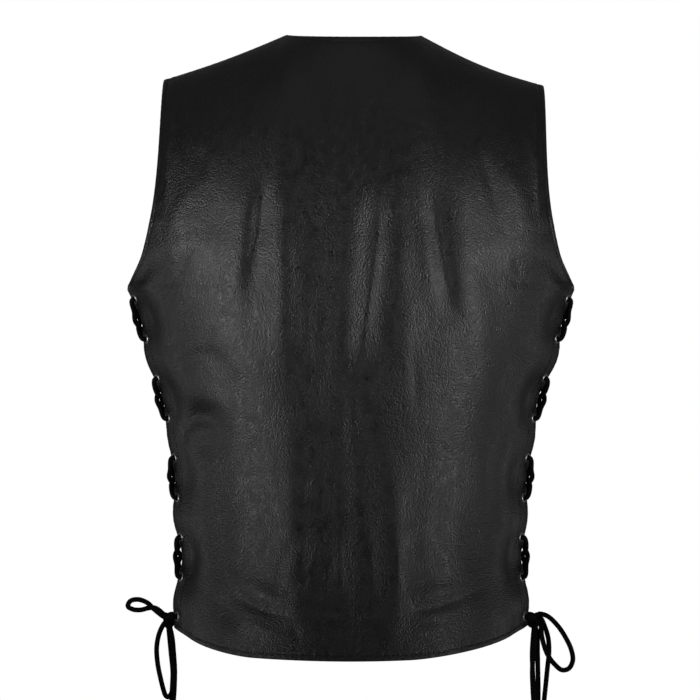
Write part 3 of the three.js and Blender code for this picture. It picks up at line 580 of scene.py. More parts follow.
def front_form(column, v, side):
    level = level_of(v, FRONT_HEM + hem_rise(column, side))
    depth = at(TORSO, "front", level)
    rise = np.clip((level - V_FOOT) / (NECK_POINT_HEIGHT - V_FOOT), 0, 1)
    edge = mix(-LAP, NECK_HALF_WIDTH, rise**V_POWER)
    inner, strip = np.arctan2(edge, depth), np.arctan2(edge + 2 * LAP, depth)
    past = (column - LAP_STRIP) / (1 - LAP_STRIP)
    strip_share = (FRONT_STRIP - LAP_STRIP) / (1 - LAP_STRIP)
    body = column_angle(strip, edge_angle("front", level), strip_share, np.maximum(past, 0), level)
    angle = np.where(column < LAP_STRIP, mix(inner, strip, column / LAP_STRIP), body)
    low = on_torso("front", angle, level)
    share = np.clip(v - 2, 0, 1)
    top = shoulder_seam(column, -1, side)
    over = over_shoulder(low, top, 90, share, 0 * column, FRONT_ARMHOLE_SCOOP * column)
    return np.where((v > 2)[..., None], over, low)


def unit(vectors):
    return vectors / np.maximum(np.linalg.norm(vectors, axis=-1, keepdims=True), 1e-12)


def outward(points, facing):
    """Normals of a grid of points."""
    along = np.gradient(points, axis=1)
    up = np.gradient(points, axis=0)
    return unit(np.cross(along, up)) * facing


def walked(points, axis):
    """Distances along a grid from its first row or column."""
    steps = np.linalg.norm(np.diff(points, axis=axis), axis=-1)
    start = np.zeros_like(np.take(steps, [0], axis=axis))
    return np.cumsum(np.concatenate([start, steps], axis=axis), axis=axis)


def soft_noise(points, seed):
    """Slow unevenness of hanging leather, longer along the body than across it."""
    flat = points.reshape(-1, 3)
    across, along = UNEVEN_LENGTHS
    finer = 2.1
    values = [
        noise.noise(Vector((x / across + seed, y / across, z / along)))
        + 0.5 * noise.noise(Vector((finer * x / across, finer * y / across + seed, finer * z / along)))
        for x, y, z in flat
    ]
    return np.array(values).reshape(points.shape[:2])


# A row of stitches along an edge of the grid. Beside the first or last column it runs between two heights,
# and beside the hem or the top between two distances from the middle.
Seam = namedtuple("Seam", "edge inset low high", defaults=(-700, 700))
SIDE_EDGES = ("first", "last")


class Panel:
    """A leather panel: a grid of outer points, with what is needed to lay seams on it."""

    def __init__(self, form, facing, seams):
        self.facing = facing
        self.seams = seams
        self.form = form
        self.points = form
        across, up = walked(form, 1), walked(form, 0)
        self.walk = {
            "first": across,
            "last": across[:, -1:] - across,
            "hem": up,
            "top": up[-1:, :] - up,
        }

    def edge_distance(self):
        return np.minimum.reduce(list(self.walk.values()))

    def seam_window(self, seam):
        """True where a seam runs, and False past its ends."""
        place = self.form[..., 2] if seam.edge in SIDE_EDGES else np.abs(self.form[..., 0])
        return (place >= seam.low) & (place <= seam.high)

    def seam_relief(self):
        """The groove that each row of stitches draws, the soft roll beside it and the puckers it pulls."""
        relief = np.zeros(self.form.shape[:2])
        for number, seam in enumerate(self.seams):
            window = self.seam_window(seam)
            off = self.walk[seam.edge] - seam.inset
            other = self.walk["hem" if seam.edge in SIDE_EDGES else "first"]
            # The puckers' spacing and depth wander along the row, differently in each row.
            ripple = np.sin(other / PUCKER_LENGTH * 2 * math.pi + 3.1 * np.sin(other / 23 + number))
            ripple *= 0.6 + 0.4 * np.sin(other / 41 + 2 * number)
            pull = np.exp(-((off / PUCKER_REACH) ** 2))
            groove = -GROOVE_DEPTH * np.exp(-((off / GROOVE_WIDTH) ** 2))
            half = seam.inset / 2
            roll = ROLL_RISE * np.exp(-(((off + half) / half) ** 2)) if seam.inset < ROLL_LIMIT else 0
            relief += window * (groove + roll + PUCKER_RISE * ripple * pull)
        return relief

    def unevenness(self, seed):
        return UNEVEN_RISE * soft_noise(self.form, seed) * smooth(self.edge_distance(), *UNEVEN_FADE)


def spaced(*stretches):
    """Grid places from stretches of (low, high, steps), each place once."""
    places = [np.linspace(low, high, steps, endpoint=False) for low, high, steps in stretches]
    return np.concatenate([*places, [stretches[-1][1]]])


EDGE_ROUND = 1.0  # how far the grid stops short of a turned edge, which its round fills
SHOULDER_RUN = 200  # from the blade level over the shoulder to the top edge
TOP_ROWS = 2.94  # over this the rows are closer, for the stitches along the top edge
HEM_SHARE = EDGE_ROUND / (LOWEST_LEVEL - BACK_HEM)
TOP_SHARE = EDGE_ROUND / SHOULDER_RUN
STRIP_SHARE = EDGE_ROUND / SIDE_STRIP


def panel_rows():
    return spaced(
        (HEM_SHARE, 1, HEM_STEPS),
        (1, 2, BODY_STEPS),
        (2, TOP_ROWS, SHOULDER_STEPS),
        (TOP_ROWS, 3 - TOP_SHARE, TOP_EDGE_STEPS),
    )


def seat_on(points, spots, flat, ease):
    """Draws the leather flat under each eyelet or snap."""
    for centre, axis in spots:
        away = points - centre
        height = away @ axis
        radius = np.linalg.norm(away - height[..., None] * axis, axis=-1)
        near = (np.abs(height) < METAL_REACH) * (1 - smooth(radius, flat, flat + ease))
        points = points - (near * height)[..., None] * axis
    return points


def back_panel(spots, depth):
    strip = 1 - (1 - BACK_STRIP) * STRIP_SHARE
    half = spaced((0, BACK_STRIP, BACK_STEPS), (BACK_STRIP, strip, STRIP_STEPS))
    u, v = np.meshgrid(np.concatenate([-half[:0:-1], half]), panel_rows())
    form = back_form(u, v)
    seams = [
        Seam("hem", HEM_ROW),
        *[Seam(edge, inset, high=SIDE_ROW_END) for inset in (EDGE_ROW, FACING_ROW) for edge in SIDE_EDGES],
        *[Seam(edge, ARMHOLE_ROW, ARMHOLE_FOOT, ARMHOLE_ROW_END) for edge in SIDE_EDGES],
        Seam("top", NECK_ROW, high=NECK_HALF_WIDTH - 2),
        Seam("top", SHOULDER_ROW, NECK_HALF_WIDTH + 1),
    ]
    panel = Panel(form, -1, seams)
    normals = outward(form, -1)
    x, z = form[..., 0], form[..., 2]
    relief = fold_height(BACK_FOLDS, x, z) + depth * crease_height(BACK_CREASES, x, z)
    column = np.abs(u)
    relief += np.where(u < 0, scallop("right", column, z), scallop("left", column, z)) + tuck(column, z)
    relief += panel.unevenness(UNEVEN_SEEDS["back"])
    relief += panel.seam_relief()
    panel.points = seat_on(lean(form + relief[..., None] * normals), spots, *EYELET_FLAT)
    return panel


def front_panel(side, spots, snaps, depth):
    strip = 1 - (1 - FRONT_STRIP) * STRIP_SHARE
    start = LAP_STRIP * EDGE_ROUND / (2 * LAP)
    places = spaced(
        (start, LAP_STRIP, LAP_STEPS),
        (LAP_STRIP, FRONT_STRIP, FRONT_STEPS),
        (FRONT_STRIP, strip, STRIP_STEPS),
    )
    u, v = np.meshgrid(places, panel_rows())
    form = front_form(u, v, side)
    seams = [
        Seam("hem", HEM_ROW),
        Seam("first", LAP_ROW),
        Seam("last", EDGE_ROW, high=SIDE_ROW_END),
        Seam("last", FACING_ROW, high=SIDE_ROW_END),
        Seam("last", ARMHOLE_ROW, ARMHOLE_FOOT),
        Seam("top", SHOULDER_ROW),
    ]
    panel = Panel(form, 1, seams)
    x, z = form[..., 0], form[..., 2]
    under = (1 - smooth(x, LAP, LAP + UNDERLAP_EASE)) * (1 - smooth(z, *UNDERLAP_LEVELS))
    let_in = (CAD_WALL + LAP_GAP) * under if side == "right" else 0 * x
    relief = fold_height(FRONT_FOLDS, x, z) + depth * crease_height(FRONT_CREASES, x, z)
    relief += scallop(side, u, z) + tuck(u, z) - let_in + panel.seam_relief()
    relief += panel.unevenness(UNEVEN_SEEDS[side]) * (1 - under)
    points = form + relief[..., None] * outward(form, 1)
    if side == "right":
        points[..., 0] *= -1
        panel.facing = -1
    panel.points = seat_on(lean(points), spots, *EYELET_FLAT)
    if side == "left":
        panel.points = seat_on(panel.points, snaps, *SNAP_FLAT)
    return panel


def hole_mask(points, spots):
    """True for each grid face that stays, and the points, drawn to round holes under the eyelets."""
    keep = np.ones((points.shape[0] - 1, points.shape[1] - 1), bool)
    snapped = points.copy()
    for centre, axis in spots:
        away = points - centre
        height = away @ axis
        flat = away - height[..., None] * axis
        radius = np.linalg.norm(flat, axis=-1)
        inside = (radius < HOLE_RADIUS) & (np.abs(height) < METAL_REACH)
        hit = inside[:-1, :-1] | inside[1:, :-1] | inside[:-1, 1:] | inside[1:, 1:]
        keep &= ~hit
        touched = np.zeros(points.shape[:2], bool)
        for dr in (0, 1):
            for dc in (0, 1):
                touched[dr:dr + hit.shape[0], dc:dc + hit.shape[1]] |= hit
        ring = touched & ~inside
        snapped[ring] = (centre + HOLE_RADIUS * unit(flat))[ring] + (height[..., None] * axis)[ring]
    return keep, snapped


def shell(panel, spots, thick, thin):
    """Vertices, faces and the material number of each face: a closed shell with round turned edges.
    Its turned border is thick, and the leather inside that border is a single layer."""
    keep, outer = hole_mask(panel.points, spots)
    normals = outward(outer, panel.facing)
    inner_wall = mix(thick, thin, smooth(panel.edge_distance(), TURNING, TURNING + STEP_WIDTH))
    for centre, _ in spots:
        near = np.linalg.norm(panel.points - centre, axis=-1)
        inner_wall = mix(thick, inner_wall, smooth(near, *EYELET_PAD))
    for edge in SIDE_EDGES:
        facing = (panel.walk[edge] < FACING_WIDTH) & (panel.form[..., 2] < FACING_TOP)
        inner_wall = np.where(facing, thick, inner_wall)
    inner = outer - inner_wall[..., None] * normals
    rows, columns = keep.shape[0] + 1, keep.shape[1] + 1
    count = rows * columns
    number = np.arange(count).reshape(rows, columns)
    vertices = [outer.reshape(-1, 3), inner.reshape(-1, 3)]
    a, b = number[:-1, :-1][keep], number[:-1, 1:][keep]
    c, d = number[1:, 1:][keep], number[1:, :-1][keep]
    front = np.stack([a, b, c, d], axis=1)
    back = np.stack([a, d, c, b], axis=1) + count
    faces, kinds = [front, back], [np.zeros(len(front), int), np.ones(len(back), int)]

    # Straight walls round the holes
    walls = []
    padded = np.pad(keep, 1, constant_values=True)
    for row in range(1, rows - 1):
        for column in np.nonzero(padded[row, 1:-1] != padded[row + 1, 1:-1])[0]:
            p, q = number[row, column], number[row, column + 1]
            if not padded[row, column + 1]:
                p, q = q, p
            walls.append((p, q, q + count, p + count))
    for column in range(1, columns - 1):
        for row in np.nonzero(padded[1:-1, column] != padded[1:-1, column + 1])[0]:
            p, q = number[row, column], number[row + 1, column]
            if padded[row + 1, column]:
                p, q = q, p
            walls.append((p, q, q + count, p + count))
    if walls:
        faces.append(np.array(walls)[:, ::-1])
        kinds.append(np.zeros(len(walls), int))

    # Round turned edges
    loop = np.concatenate([number[0, :-1], number[:-1, -1], number[-1, :0:-1], number[:0:-1, 0]])
    outer_flat, inner_flat = outer.reshape(-1, 3), inner.reshape(-1, 3)
    ring_outer, ring_inner = outer_flat[loop], inner_flat[loop]
    middle = (ring_outer + ring_inner) / 2
    half = np.linalg.norm(ring_outer - ring_inner, axis=1, keepdims=True) / 2
    normal = unit(ring_outer - ring_inner)
    travel = np.roll(ring_outer, -1, axis=0) - np.roll(ring_outer, 1, axis=0)
    out = unit(np.cross(travel, normal)) * panel.facing
    previous = loop
    start = 2 * count
    for step in range(1, ROUND_STEPS + 1):
        if step < ROUND_STEPS:
            angle = math.pi * step / ROUND_STEPS
            vertices.append(middle + half * (math.cos(angle) * normal + math.sin(angle) * out))
            current = start + np.arange(len(loop))
            start += len(loop)
        else:
            current = loop + count
        strip = np.stack([previous, current, np.roll(current, -1), np.roll(previous, -1)], axis=1)
        faces.append(strip)
        kinds.append(np.zeros(len(strip), int))
        previous = current
    all_faces = np.concatenate(faces)
    if panel.facing < 0:
        all_faces = all_faces[:, ::-1]
    return np.concatenate(vertices), all_faces, np.concatenate(kinds)


def make_mesh(name, vertices, faces, materials, kinds=None):
    mesh = bpy.data.meshes.new(name)
    mesh.from_pydata((np.asarray(vertices) * MM).tolist(), [], [list(map(int, face)) for face in faces])
    mesh.validate()
    for material in materials:
        mesh.materials.append(material)
    if kinds is not None:
        mesh.polygons.foreach_set("material_index", np.asarray(kinds, np.int32))
    mesh.polygons.foreach_set("use_smooth", [True] * len(mesh.polygons))
    mesh.update()
    piece = bpy.data.objects.new(name, mesh)
    bpy.context.scene.collection.objects.link(piece)
    return piece


def drop_loose(piece):
    """Takes out the vertices that no face uses, as under the holes."""
    work = bmesh.new()
    work.from_mesh(piece.data)
    loose = [vertex for vertex in work.verts if not vertex.link_faces]
    bmesh.ops.delete(work, geom=loose, context="VERTS")
    work.to_mesh(piece.data)
    work.free()


def node_points(name):
    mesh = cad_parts[name].data
    points = np.zeros(len(mesh.vertices) * 3)
    mesh.vertices.foreach_get("co", points)
    return points.reshape(-1, 3) / MM


def turned_frame(name, above, expected):
    """Where a turned CAD piece meets the leather's outer face, and the direction out of the leather.
    Above is how far its highest point stands over that face."""
    points = node_points(name)
    middle = points.mean(axis=0)
    axes = np.linalg.svd(points - middle, full_matrices=False)[2]
    axis = max(axes, key=lambda a: abs(a @ expected))
    axis = axis * np.sign(axis @ expected)
    highest = ((points - middle) @ axis).max()
    return middle + (highest - above) * axis, axis


def eyelet_frames(panel, side):
    expected = np.array([SIDES[side], 0.25 if panel == "back" else -0.25, 0])
    return [
        turned_frame(f"eyelet_{panel}_{side}_{row}", EYELET_STANDS, expected)
        for row in range(1, EYELET_ROWS + 1)
    ]


def snap_frames():
    forwards = np.array([0, -1.0, 0])
    return [turned_frame(f"snap_{number}", SNAP_STANDS, forwards) for number in range(1, SNAPS + 1)]


def smooth_line(points, spacing):
    """Evenly spaced points of a smooth line through a list of points, and the line's length."""
    points = [np.array(p, float) for p in points]
    ends = [2 * points[0] - points[1], *points, 2 * points[-1] - points[-2]]
    line = []
    for p0, p1, p2, p3 in zip(ends, ends[1:], ends[2:], ends[3:]):
        d0, d1, d2 = (max(np.linalg.norm(b - a) ** 0.5, 1e-4) for a, b in ((p0, p1), (p1, p2), (p2, p3)))
        m1 = ((p1 - p0) / d0 - (p2 - p0) / (d0 + d1) + (p2 - p1) / d1) * d1
        m2 = ((p2 - p1) / d1 - (p3 - p1) / (d1 + d2) + (p3 - p2) / d2) * d1
        t = np.linspace(0, 1, LINE_STEPS, endpoint=False)[:, None]
        line.append((2 * t**3 - 3 * t**2 + 1) * p1 + (t**3 - 2 * t**2 + t) * m1
                    + (3 * t**2 - 2 * t**3) * p2 + (t**3 - t**2) * m2)
    line = np.concatenate([*line, [points[-1]]])
    walk = np.concatenate([[0], np.cumsum(np.linalg.norm(np.diff(line, axis=0), axis=1))])
    count = max(int(round(walk[-1] / spacing)), 4) + 1
    places = np.linspace(0, walk[-1], count)
    return np.stack([np.interp(places, walk, line[:, i]) for i in range(3)], axis=1), walk[-1]


def carried_frames(line):
    """Two directions across a line at each point, carried along it without twist."""
    tangents = unit(np.gradient(line, axis=0))
    first = unit(np.cross(tangents[0], (0.31, 0.52, 0.79)))
    across = [first]
    for tangent in tangents[1:]:
        across.append(unit(across[-1] - (across[-1] @ tangent) * tangent))
    across = np.array(across)
    return across, np.cross(tangents, across)


def braided_lace(name, points, radius, material):
    """A round braided lace along a smooth line, with the plaits of its braid raised.
    Gives the piece, its line and its length."""
    line, length = smooth_line(points, BRAID_STEP)
    across, up = carried_frames(line)
    angle = np.linspace(0, 2 * math.pi, BRAID_SIDES, endpoint=False)
    along = np.linspace(0, length, len(line))
    turn = BRAID_WAVES * angle[None, :] / (2 * math.pi)
    climb = along[:, None] / (2 * BRAID_PITCH)
    rising = np.sin(2 * math.pi * (turn + climb))
    falling = np.sin(2 * math.pi * (turn - climb))
    over = 0.5 + 0.5 * np.tanh(4 * rising * falling)
    one = np.abs(rising) * np.abs(falling) ** 0.4
    other = np.abs(falling) * np.abs(rising) ** 0.4
    height = over * one + (1 - over) * other
    size = radius - BRAID_RELIEF * (1 - height)
    ring = np.cos(angle)[None, :, None] * across[:, None, :] + np.sin(angle)[None, :, None] * up[:, None, :]
    body = line[:, None, :] + size[..., None] * ring
    tangents = unit(np.gradient(line, axis=0))
    vertices = [body.reshape(-1, 3)]
    rows = len(line)
    number = np.arange(rows * BRAID_SIDES).reshape(rows, BRAID_SIDES)
    beside = np.roll(number, -1, axis=1)
    faces = [np.stack([number[:-1], beside[:-1], beside[1:], number[1:]], axis=-1).reshape(-1, 4).tolist()]
    count = rows * BRAID_SIDES
    for row, sign in ((0, -1), (rows - 1, 1)):
        out = sign * radius * tangents[row]
        vertices.append(line[row] + END_RIM * radius * ring[row] + END_STEP * out)
        vertices.append([line[row] + END_MIDDLE * out])
        rim = count + np.arange(BRAID_SIDES)
        centre = count + BRAID_SIDES
        count += BRAID_SIDES + 1
        strip = np.stack([number[row], np.roll(number[row], -1), np.roll(rim, -1), rim], axis=1)
        fan = [[a, b, centre] for a, b in zip(rim.tolist(), np.roll(rim, -1).tolist())]
        strip = strip.tolist()
        if sign < 0:
            strip, fan = [f[::-1] for f in strip], [f[::-1] for f in fan]
        faces += [strip, fan]
    piece = make_mesh(name, np.concatenate(vertices), [f for group in faces for f in group], [material])
    return piece, line, length


def knot_centre(side):
    low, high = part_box(f"bow_knot_{side}")
    return np.array((low + high) / 2) / MM


def seat_on_knot(end, following, radius):
    """Where the middle of a lace's end lies on the knot. Both points count from the knot's centre."""
    seat = unit(end / KNOT_SIZE) * KNOT_SIZE
    normal = unit(seat / KNOT_SIZE / KNOT_SIZE)
    slant = np.linalg.norm(np.cross(unit(following - seat), normal))
    return seat + normal * (KNOT_GAP + radius * slant)


def bow_route(side, name, radius):
    """The route of a bow's loop or tail, whose ends run a little into the knot."""
    points = [np.array([SIDES[side] * out, back, up], float) for out, back, up in BOWS[side][name]]
    points[0] = seat_on_knot(points[0], points[1], radius)
    points.insert(0, points[0] - KNOT_BITE * unit(points[0]))
    if name.startswith("loop"):
        points[-1] = seat_on_knot(points[-1], points[-2], radius)
        points.append(points[-1] - KNOT_BITE * unit(points[-1]))
    return [point + knot_centre(side) for point in points]


def knot_line(side):
    """A pulled-tight knot: one closed trefoil turn, flattened to the knot's size."""
    t = np.linspace(0, 2 * math.pi, KNOT_POINTS)
    depth = -np.sin(3 * t)
    width = (np.sin(t) + 2 * np.sin(2 * t)) / 3
    height = (np.cos(t) - 2 * np.cos(2 * t)) / 3
    flat = np.stack([depth, width, height], axis=1) * (KNOT_SIZE - KNOT_STRAND + KNOT_SPREAD)
    return flat * np.array([SIDES[side], 1, 1]) + knot_centre(side)


def towards(start, end):
    along = end[0] - start[0]
    return unit(along - (along @ start[1]) * start[1])


def edge_point(start, end):
    along = towards(start, end)
    out = np.array([0, -np.sign(start[0][1]), 0])
    out = unit(out - (out @ start[1]) * start[1])
    return start[0] + along * (SIDE_STRIP / 2 / (along @ out))


def crossing(start, end, outside, over):
    def level(height):
        return height if outside else -CAD_WALL - height

    middle = (edge_point(start, end) + edge_point(end, start)) / 2
    between = unit(start[1] + end[1])
    return [
        edge_point(start, end) + start[1] * level(OVER_EDGE),
        middle + between * level(CROSS_HIGH if over else CROSS_LOW),
        edge_point(end, start) + end[1] * level(OVER_EDGE),
    ]


def strand(back, front, starts_on_back):
    """One strand from the top eyelet down: it changes panel at each row, and changes face at each eyelet."""
    def spot(row):
        return (back if (row % 2 == 0) == starts_on_back else front)[row]

    points = []
    for row in range(EYELET_ROWS):
        centre, axis = spot(row)
        through = [centre + axis * (-CAD_WALL - OVER_HOLE), centre + axis * OVER_HOLE]
        points += through if row % 2 == 0 else through[::-1]
        if row + 1 < EYELET_ROWS:
            points += crossing(spot(row), spot(row + 1), row % 2 == 0, starts_on_back == (row % 4 < 2))
    return points


def lead(spot, knot):
    centre, axis = spot
    facing = np.sign(centre[1])
    return [
        centre + axis * LIFT + np.array([0, -facing * LIFT_REACH, 0]),
        knot + np.array([0, facing * (KNOT_HALF_WIDTH + KNOT_LEAD), LEAD_RISES[0]]),
        knot + np.array([0, facing * (KNOT_HALF_WIDTH - KNOT_BITE), LEAD_RISES[1]]),
    ]


def lacing_route(side):
    back, front, knot = eyelet_frames("back", side), eyelet_frames("front", side), knot_centre(side)
    across = unit(front[0][0] - back[0][0])
    bridge = [
        back[0][0] + back[0][1] * (-CAD_WALL - LIFT) + across * LIFT_REACH,
        front[0][0] + front[0][1] * (-CAD_WALL - LIFT) - across * LIFT_REACH,
    ]
    down_back = strand(back, front, True) + lead(back[-1] if EYELET_ROWS % 2 else front[-1], knot)
    down_front = strand(back, front, False) + lead(front[-1] if EYELET_ROWS % 2 else back[-1], knot)
    return [*down_back[::-1], *bridge, *down_front]


def lathed(profile, segments, spots, name, material):
    """Turned pieces, one for each spot, joined as one mesh. The profile runs round its section."""
    vertices, faces = [], []
    turn = np.linspace(0, 2 * math.pi, segments, endpoint=False)
    for centre, axis in spots:
        side = unit(np.cross(axis, (0, 0, 1.0)))
        up = np.cross(side, axis)
        ring = np.cos(turn)[:, None] * side + np.sin(turn)[:, None] * up
        numbers = []
        for radius, height in profile:
            if radius < 1e-6:
                numbers.append([len(vertices)] * segments)
                vertices.append(centre + height * axis)
                continue
            numbers.append(list(range(len(vertices), len(vertices) + segments)))
            vertices.extend(centre + radius * ring + height * axis)
        closed = profile[0][0] > 1e-6
        pairs = list(zip(numbers, numbers[1:])) + ([(numbers[-1], numbers[0])] if closed else [])
        for low, high in pairs:
            for i in range(segments):
                k = (i + 1) % segments
                corners = [low[i], low[k], high[k], high[i]]
                faces.append([c for n, c in enumerate(corners) if c not in corners[:n]])
    return make_mesh(name, vertices, faces, [material])


def seam_points(panel, seam):
    """Points and normals along one row of stitches."""
    normals = outward(panel.points, panel.facing)
    walk = panel.walk[seam.edge]
    sideways = seam.edge in SIDE_EDGES
    lines = range(walk.shape[0]) if sideways else range(walk.shape[1])
    window = panel.seam_window(seam)
    others = [name for name in panel.walk if name != seam.edge]
    points, ups = [], []

    def take(grid, i):
        return grid[i] if sideways else grid[:, i]

    for i in lines:
        distance, spots, normals_here = take(walk, i), take(panel.points, i), take(normals, i)
        order = np.argsort(distance)
        near = int(np.abs(distance - seam.inset).argmin())
        clear = min(take(panel.walk[name], i)[near] for name in others)
        if not take(window, i)[near] or clear < min(seam.inset, EDGE_ROW):
            continue
        points.append([np.interp(seam.inset, distance[order], spots[order, k]) for k in range(3)])
        ups.append([np.interp(seam.inset, distance[order], normals_here[order, k]) for k in range(3)])
    return np.array(points), unit(np.array(ups))


def stitches(name, panel, pitch, length, thread, material):
    """Every stitch of a panel's rows: short plump threads that dip into the leather at both ends."""
    vertices, faces = [], []
    around = np.linspace(0, 2 * math.pi, STITCH_SIDES, endpoint=False)
    ring_faces = len(STITCH_RINGS) - 3
    for seam in panel.seams:
        line, ups = seam_points(panel, seam)
        if len(line) < 3:
            continue
        steps = np.linalg.norm(np.diff(line, axis=0), axis=1)
        walk = np.concatenate([[0], np.cumsum(steps)])
        places = np.arange(pitch / 2, walk[-1] - pitch / 2, pitch)
        # A row that stops at an opening, such as the neck, goes on beyond it, with no stitches across.
        across = steps[np.searchsorted(walk, places) - 1] > SEAM_BREAK
        beyond = steps[np.minimum(np.searchsorted(walk, places + length) - 1, len(steps) - 1)] > SEAM_BREAK
        for place in places[~(across | beyond)]:
            ends = [np.array([np.interp(place + s, walk, line[:, k]) for k in range(3)]) for s in (0, length)]
            up = unit(np.array([np.interp(place, walk, ups[:, k]) for k in range(3)]))
            along = ends[1] - ends[0]
            if np.linalg.norm(along) < SHORTEST_STITCH * length:
                continue
            side = unit(np.cross(along, up))
            start = len(vertices)
            for share, size, height in STITCH_RINGS:
                centre = ends[0] + share * along + height * up
                if size == 0:
                    vertices.append(centre)
                    continue
                vertices.extend(centre + thread / 2 * size * (
                    np.cos(around)[:, None] * side + np.sin(around)[:, None] * up))
            last = start + 1 + ring_faces * STITCH_SIDES
            for i in range(STITCH_SIDES):
                k = (i + 1) % STITCH_SIDES
                faces.append([start, start + 1 + k, start + 1 + i])
                for low in range(start + 1, last, STITCH_SIDES):
                    high = low + STITCH_SIDES
                    faces.append([low + i, low + k, high + k, high + i])
                faces.append([last + i, last + k, last + STITCH_SIDES])
    return make_mesh(name, vertices, faces, [material])


def add(tree, kind, settings=None, links=None):
    """Adds a node, sets its properties and socket values, and links named or numbered inputs from sockets."""
    node = tree.nodes.new(kind)
    for key, value in (settings or {}).items():
        if isinstance(key, str) and hasattr(node, key):
            setattr(node, key, value)
        else:
            node.inputs[key].default_value = value
    for key, socket in (links or {}).items():
        tree.links.new(socket, node.inputs[key])
    return node


def new_material(name):
    """An empty material: its node tree, its shader, and the place on the piece that its textures follow."""
    material = bpy.data.materials.new(name)
    material.use_nodes = True
    tree = material.node_tree
    tree.nodes.clear()
    shader = add(tree, "ShaderNodeBsdfPrincipled")
    add(tree, "ShaderNodeOutputMaterial", links={"Surface": shader.outputs["BSDF"]})
    place = add(tree, "ShaderNodeTexCoord").outputs["Object"]
    return material, tree, shader, place


def clouded(tree, place, size, detail, roughness=0.5):
    """Soft noise whose blots are about a size in millimetres."""
    settings = {"Scale": 1 / (size * MM), "Detail": detail, "Roughness": roughness}
    return add(tree, "ShaderNodeTexNoise", settings, {"Vector": place})


def ranged(tree, value, low, high, to_low, to_high):
    return add(tree, "ShaderNodeMapRange", {1: low, 2: high, 3: to_low, 4: to_high}, {0: value}).outputs[0]


def colour_between(tree, colour, other, share):
    """A colour between two, by the share of the second that a socket gives."""
    mixed = add(tree, "ShaderNodeMix", {"data_type": "RGBA", 6: (*colour, 1), 7: (*other, 1)}, {0: share})
    return mixed.outputs[2]


def bumped(tree, height, strength, depth, below=None, invert=False):
    """A normal bumped by a height, as deep as some millimetres, on top of the bump below it."""
    links = {"Height": height} if below is None else {"Height": height, "Normal": below}
    settings = {"Strength": strength, "Distance": depth * MM, "invert": invert}
    return add(tree, "ShaderNodeBump", settings, links).outputs[0]


def finish_shader(tree, shader, sockets, **values):
    """Links sockets to the shader's inputs and sets other inputs, whose names have _ for each space."""
    for name, socket in sockets.items():
        tree.links.new(socket, shader.inputs[name])
    for name, value in values.items():
        shader.inputs[name.replace("_", " ")].default_value = value


def grained_leather(sizes):
    """Full-grain cowhide, drum-dyed and finished semi-gloss. Its grain is pebbled, with fine creases between
    the pebbles, and breaks up the broad soft highlights."""
    material, tree, shader, place = new_material("full_grain_cowhide_black")
    # Noise shifts the pebbles by up to 0.4 mm, so that their net has no straight lines.
    warp = clouded(tree, place, 5, 2.0)
    shift = add(tree, "ShaderNodeVectorMath", {"operation": "MULTIPLY_ADD", 1: (0.4 * MM,) * 3},
                {0: warp.outputs["Color"], 2: place})
    # Real pebbles are 0.8 to 1.5 mm across. They are drawn a little coarser, so that the render shows them.
    pebbles = add(tree, "ShaderNodeTexVoronoi", {"feature": "F1", "Scale": 1 / sizes.grain_size},
                  {"Vector": shift.outputs[0]}).outputs["Distance"]
    stretch = add(tree, "ShaderNodeMapping", {"Scale": (1.0, 1.0, 0.6)}, {"Vector": place})
    crumple = clouded(tree, stretch.outputs[0], 7, 2.5).outputs["Fac"]
    patches = clouded(tree, place, 60, 3.0).outputs["Fac"]
    tone = colour_between(tree, sizes.colour, sizes.worn_colour, patches)
    # Painted shade: the colour darkens from the middle of each pebble to its border, in the low valleys of
    # the grain.
    painted_valley_shade = ranged(tree, pebbles, 0.15, 0.75, 1.0, 0.55)
    multiplied = {"data_type": "RGBA", "blend_type": "MULTIPLY", 0: 1.0}
    colour = add(tree, "ShaderNodeMix", multiplied, {6: tone, 7: painted_valley_shade})
    rough = ranged(tree, crumple, 0.3, 0.7, sizes.roughness - 0.06, sizes.roughness + 0.1)
    low = bumped(tree, crumple, 0.3, 0.6)
    wrinkles = bumped(tree, clouded(tree, place, 2.6, 1.5).outputs["Fac"], 0.13, 0.4, low)
    grain = bumped(tree, pebbles, sizes.grain_strength, 0.4, wrinkles, invert=True)
    finish_shader(tree, shader, {"Base Color": colour.outputs[2], "Roughness": rough, "Normal": grain},
                  IOR=1.5, Specular_IOR_Level=0.5)
    return material


def flesh_leather():
    """The suede flesh side of the same hide: short fibres, matt, a little greyer than the grain."""
    material, tree, shader, place = new_material("cowhide_flesh_side_dyed")
    nap = clouded(tree, place, 0.9, 4.0, 0.7).outputs["Fac"]
    cloud = clouded(tree, place, 24, 2.0).outputs["Fac"]
    blend = add(tree, "ShaderNodeMath", {"operation": "MULTIPLY_ADD", 1: 0.5, 2: 0.1}, {0: nap})
    shade = add(tree, "ShaderNodeMath", {"operation": "ADD"}, {0: blend.outputs[0], 1: cloud})
    share = ranged(tree, shade.outputs[0], 0.5, 1.1, 0.0, 1.0)
    colour = colour_between(tree, linear("#141415"), linear("#29292b"), share)
    finish_shader(tree, shader, {"Base Color": colour, "Normal": bumped(tree, nap, 0.7, 0.4)},
                  Roughness=0.92, Specular_IOR_Level=0.25)
    return material


def plated_nickel(colour):
    """Brass eyelets and snap caps with nickel plate: satin bright, with faint rolling marks."""
    material, tree, shader, place = new_material("nickel_plated_brass")
    marks = clouded(tree, place, 1.5, 3.0).outputs["Fac"]
    rough = ranged(tree, marks, 0.3, 0.7, 0.28, 0.42)
    tint = colour_between(tree, colour, linear("#8f9196"), marks)
    finish_shader(tree, shader, {"Base Color": tint, "Roughness": rough}, Metallic=1.0)
    return material


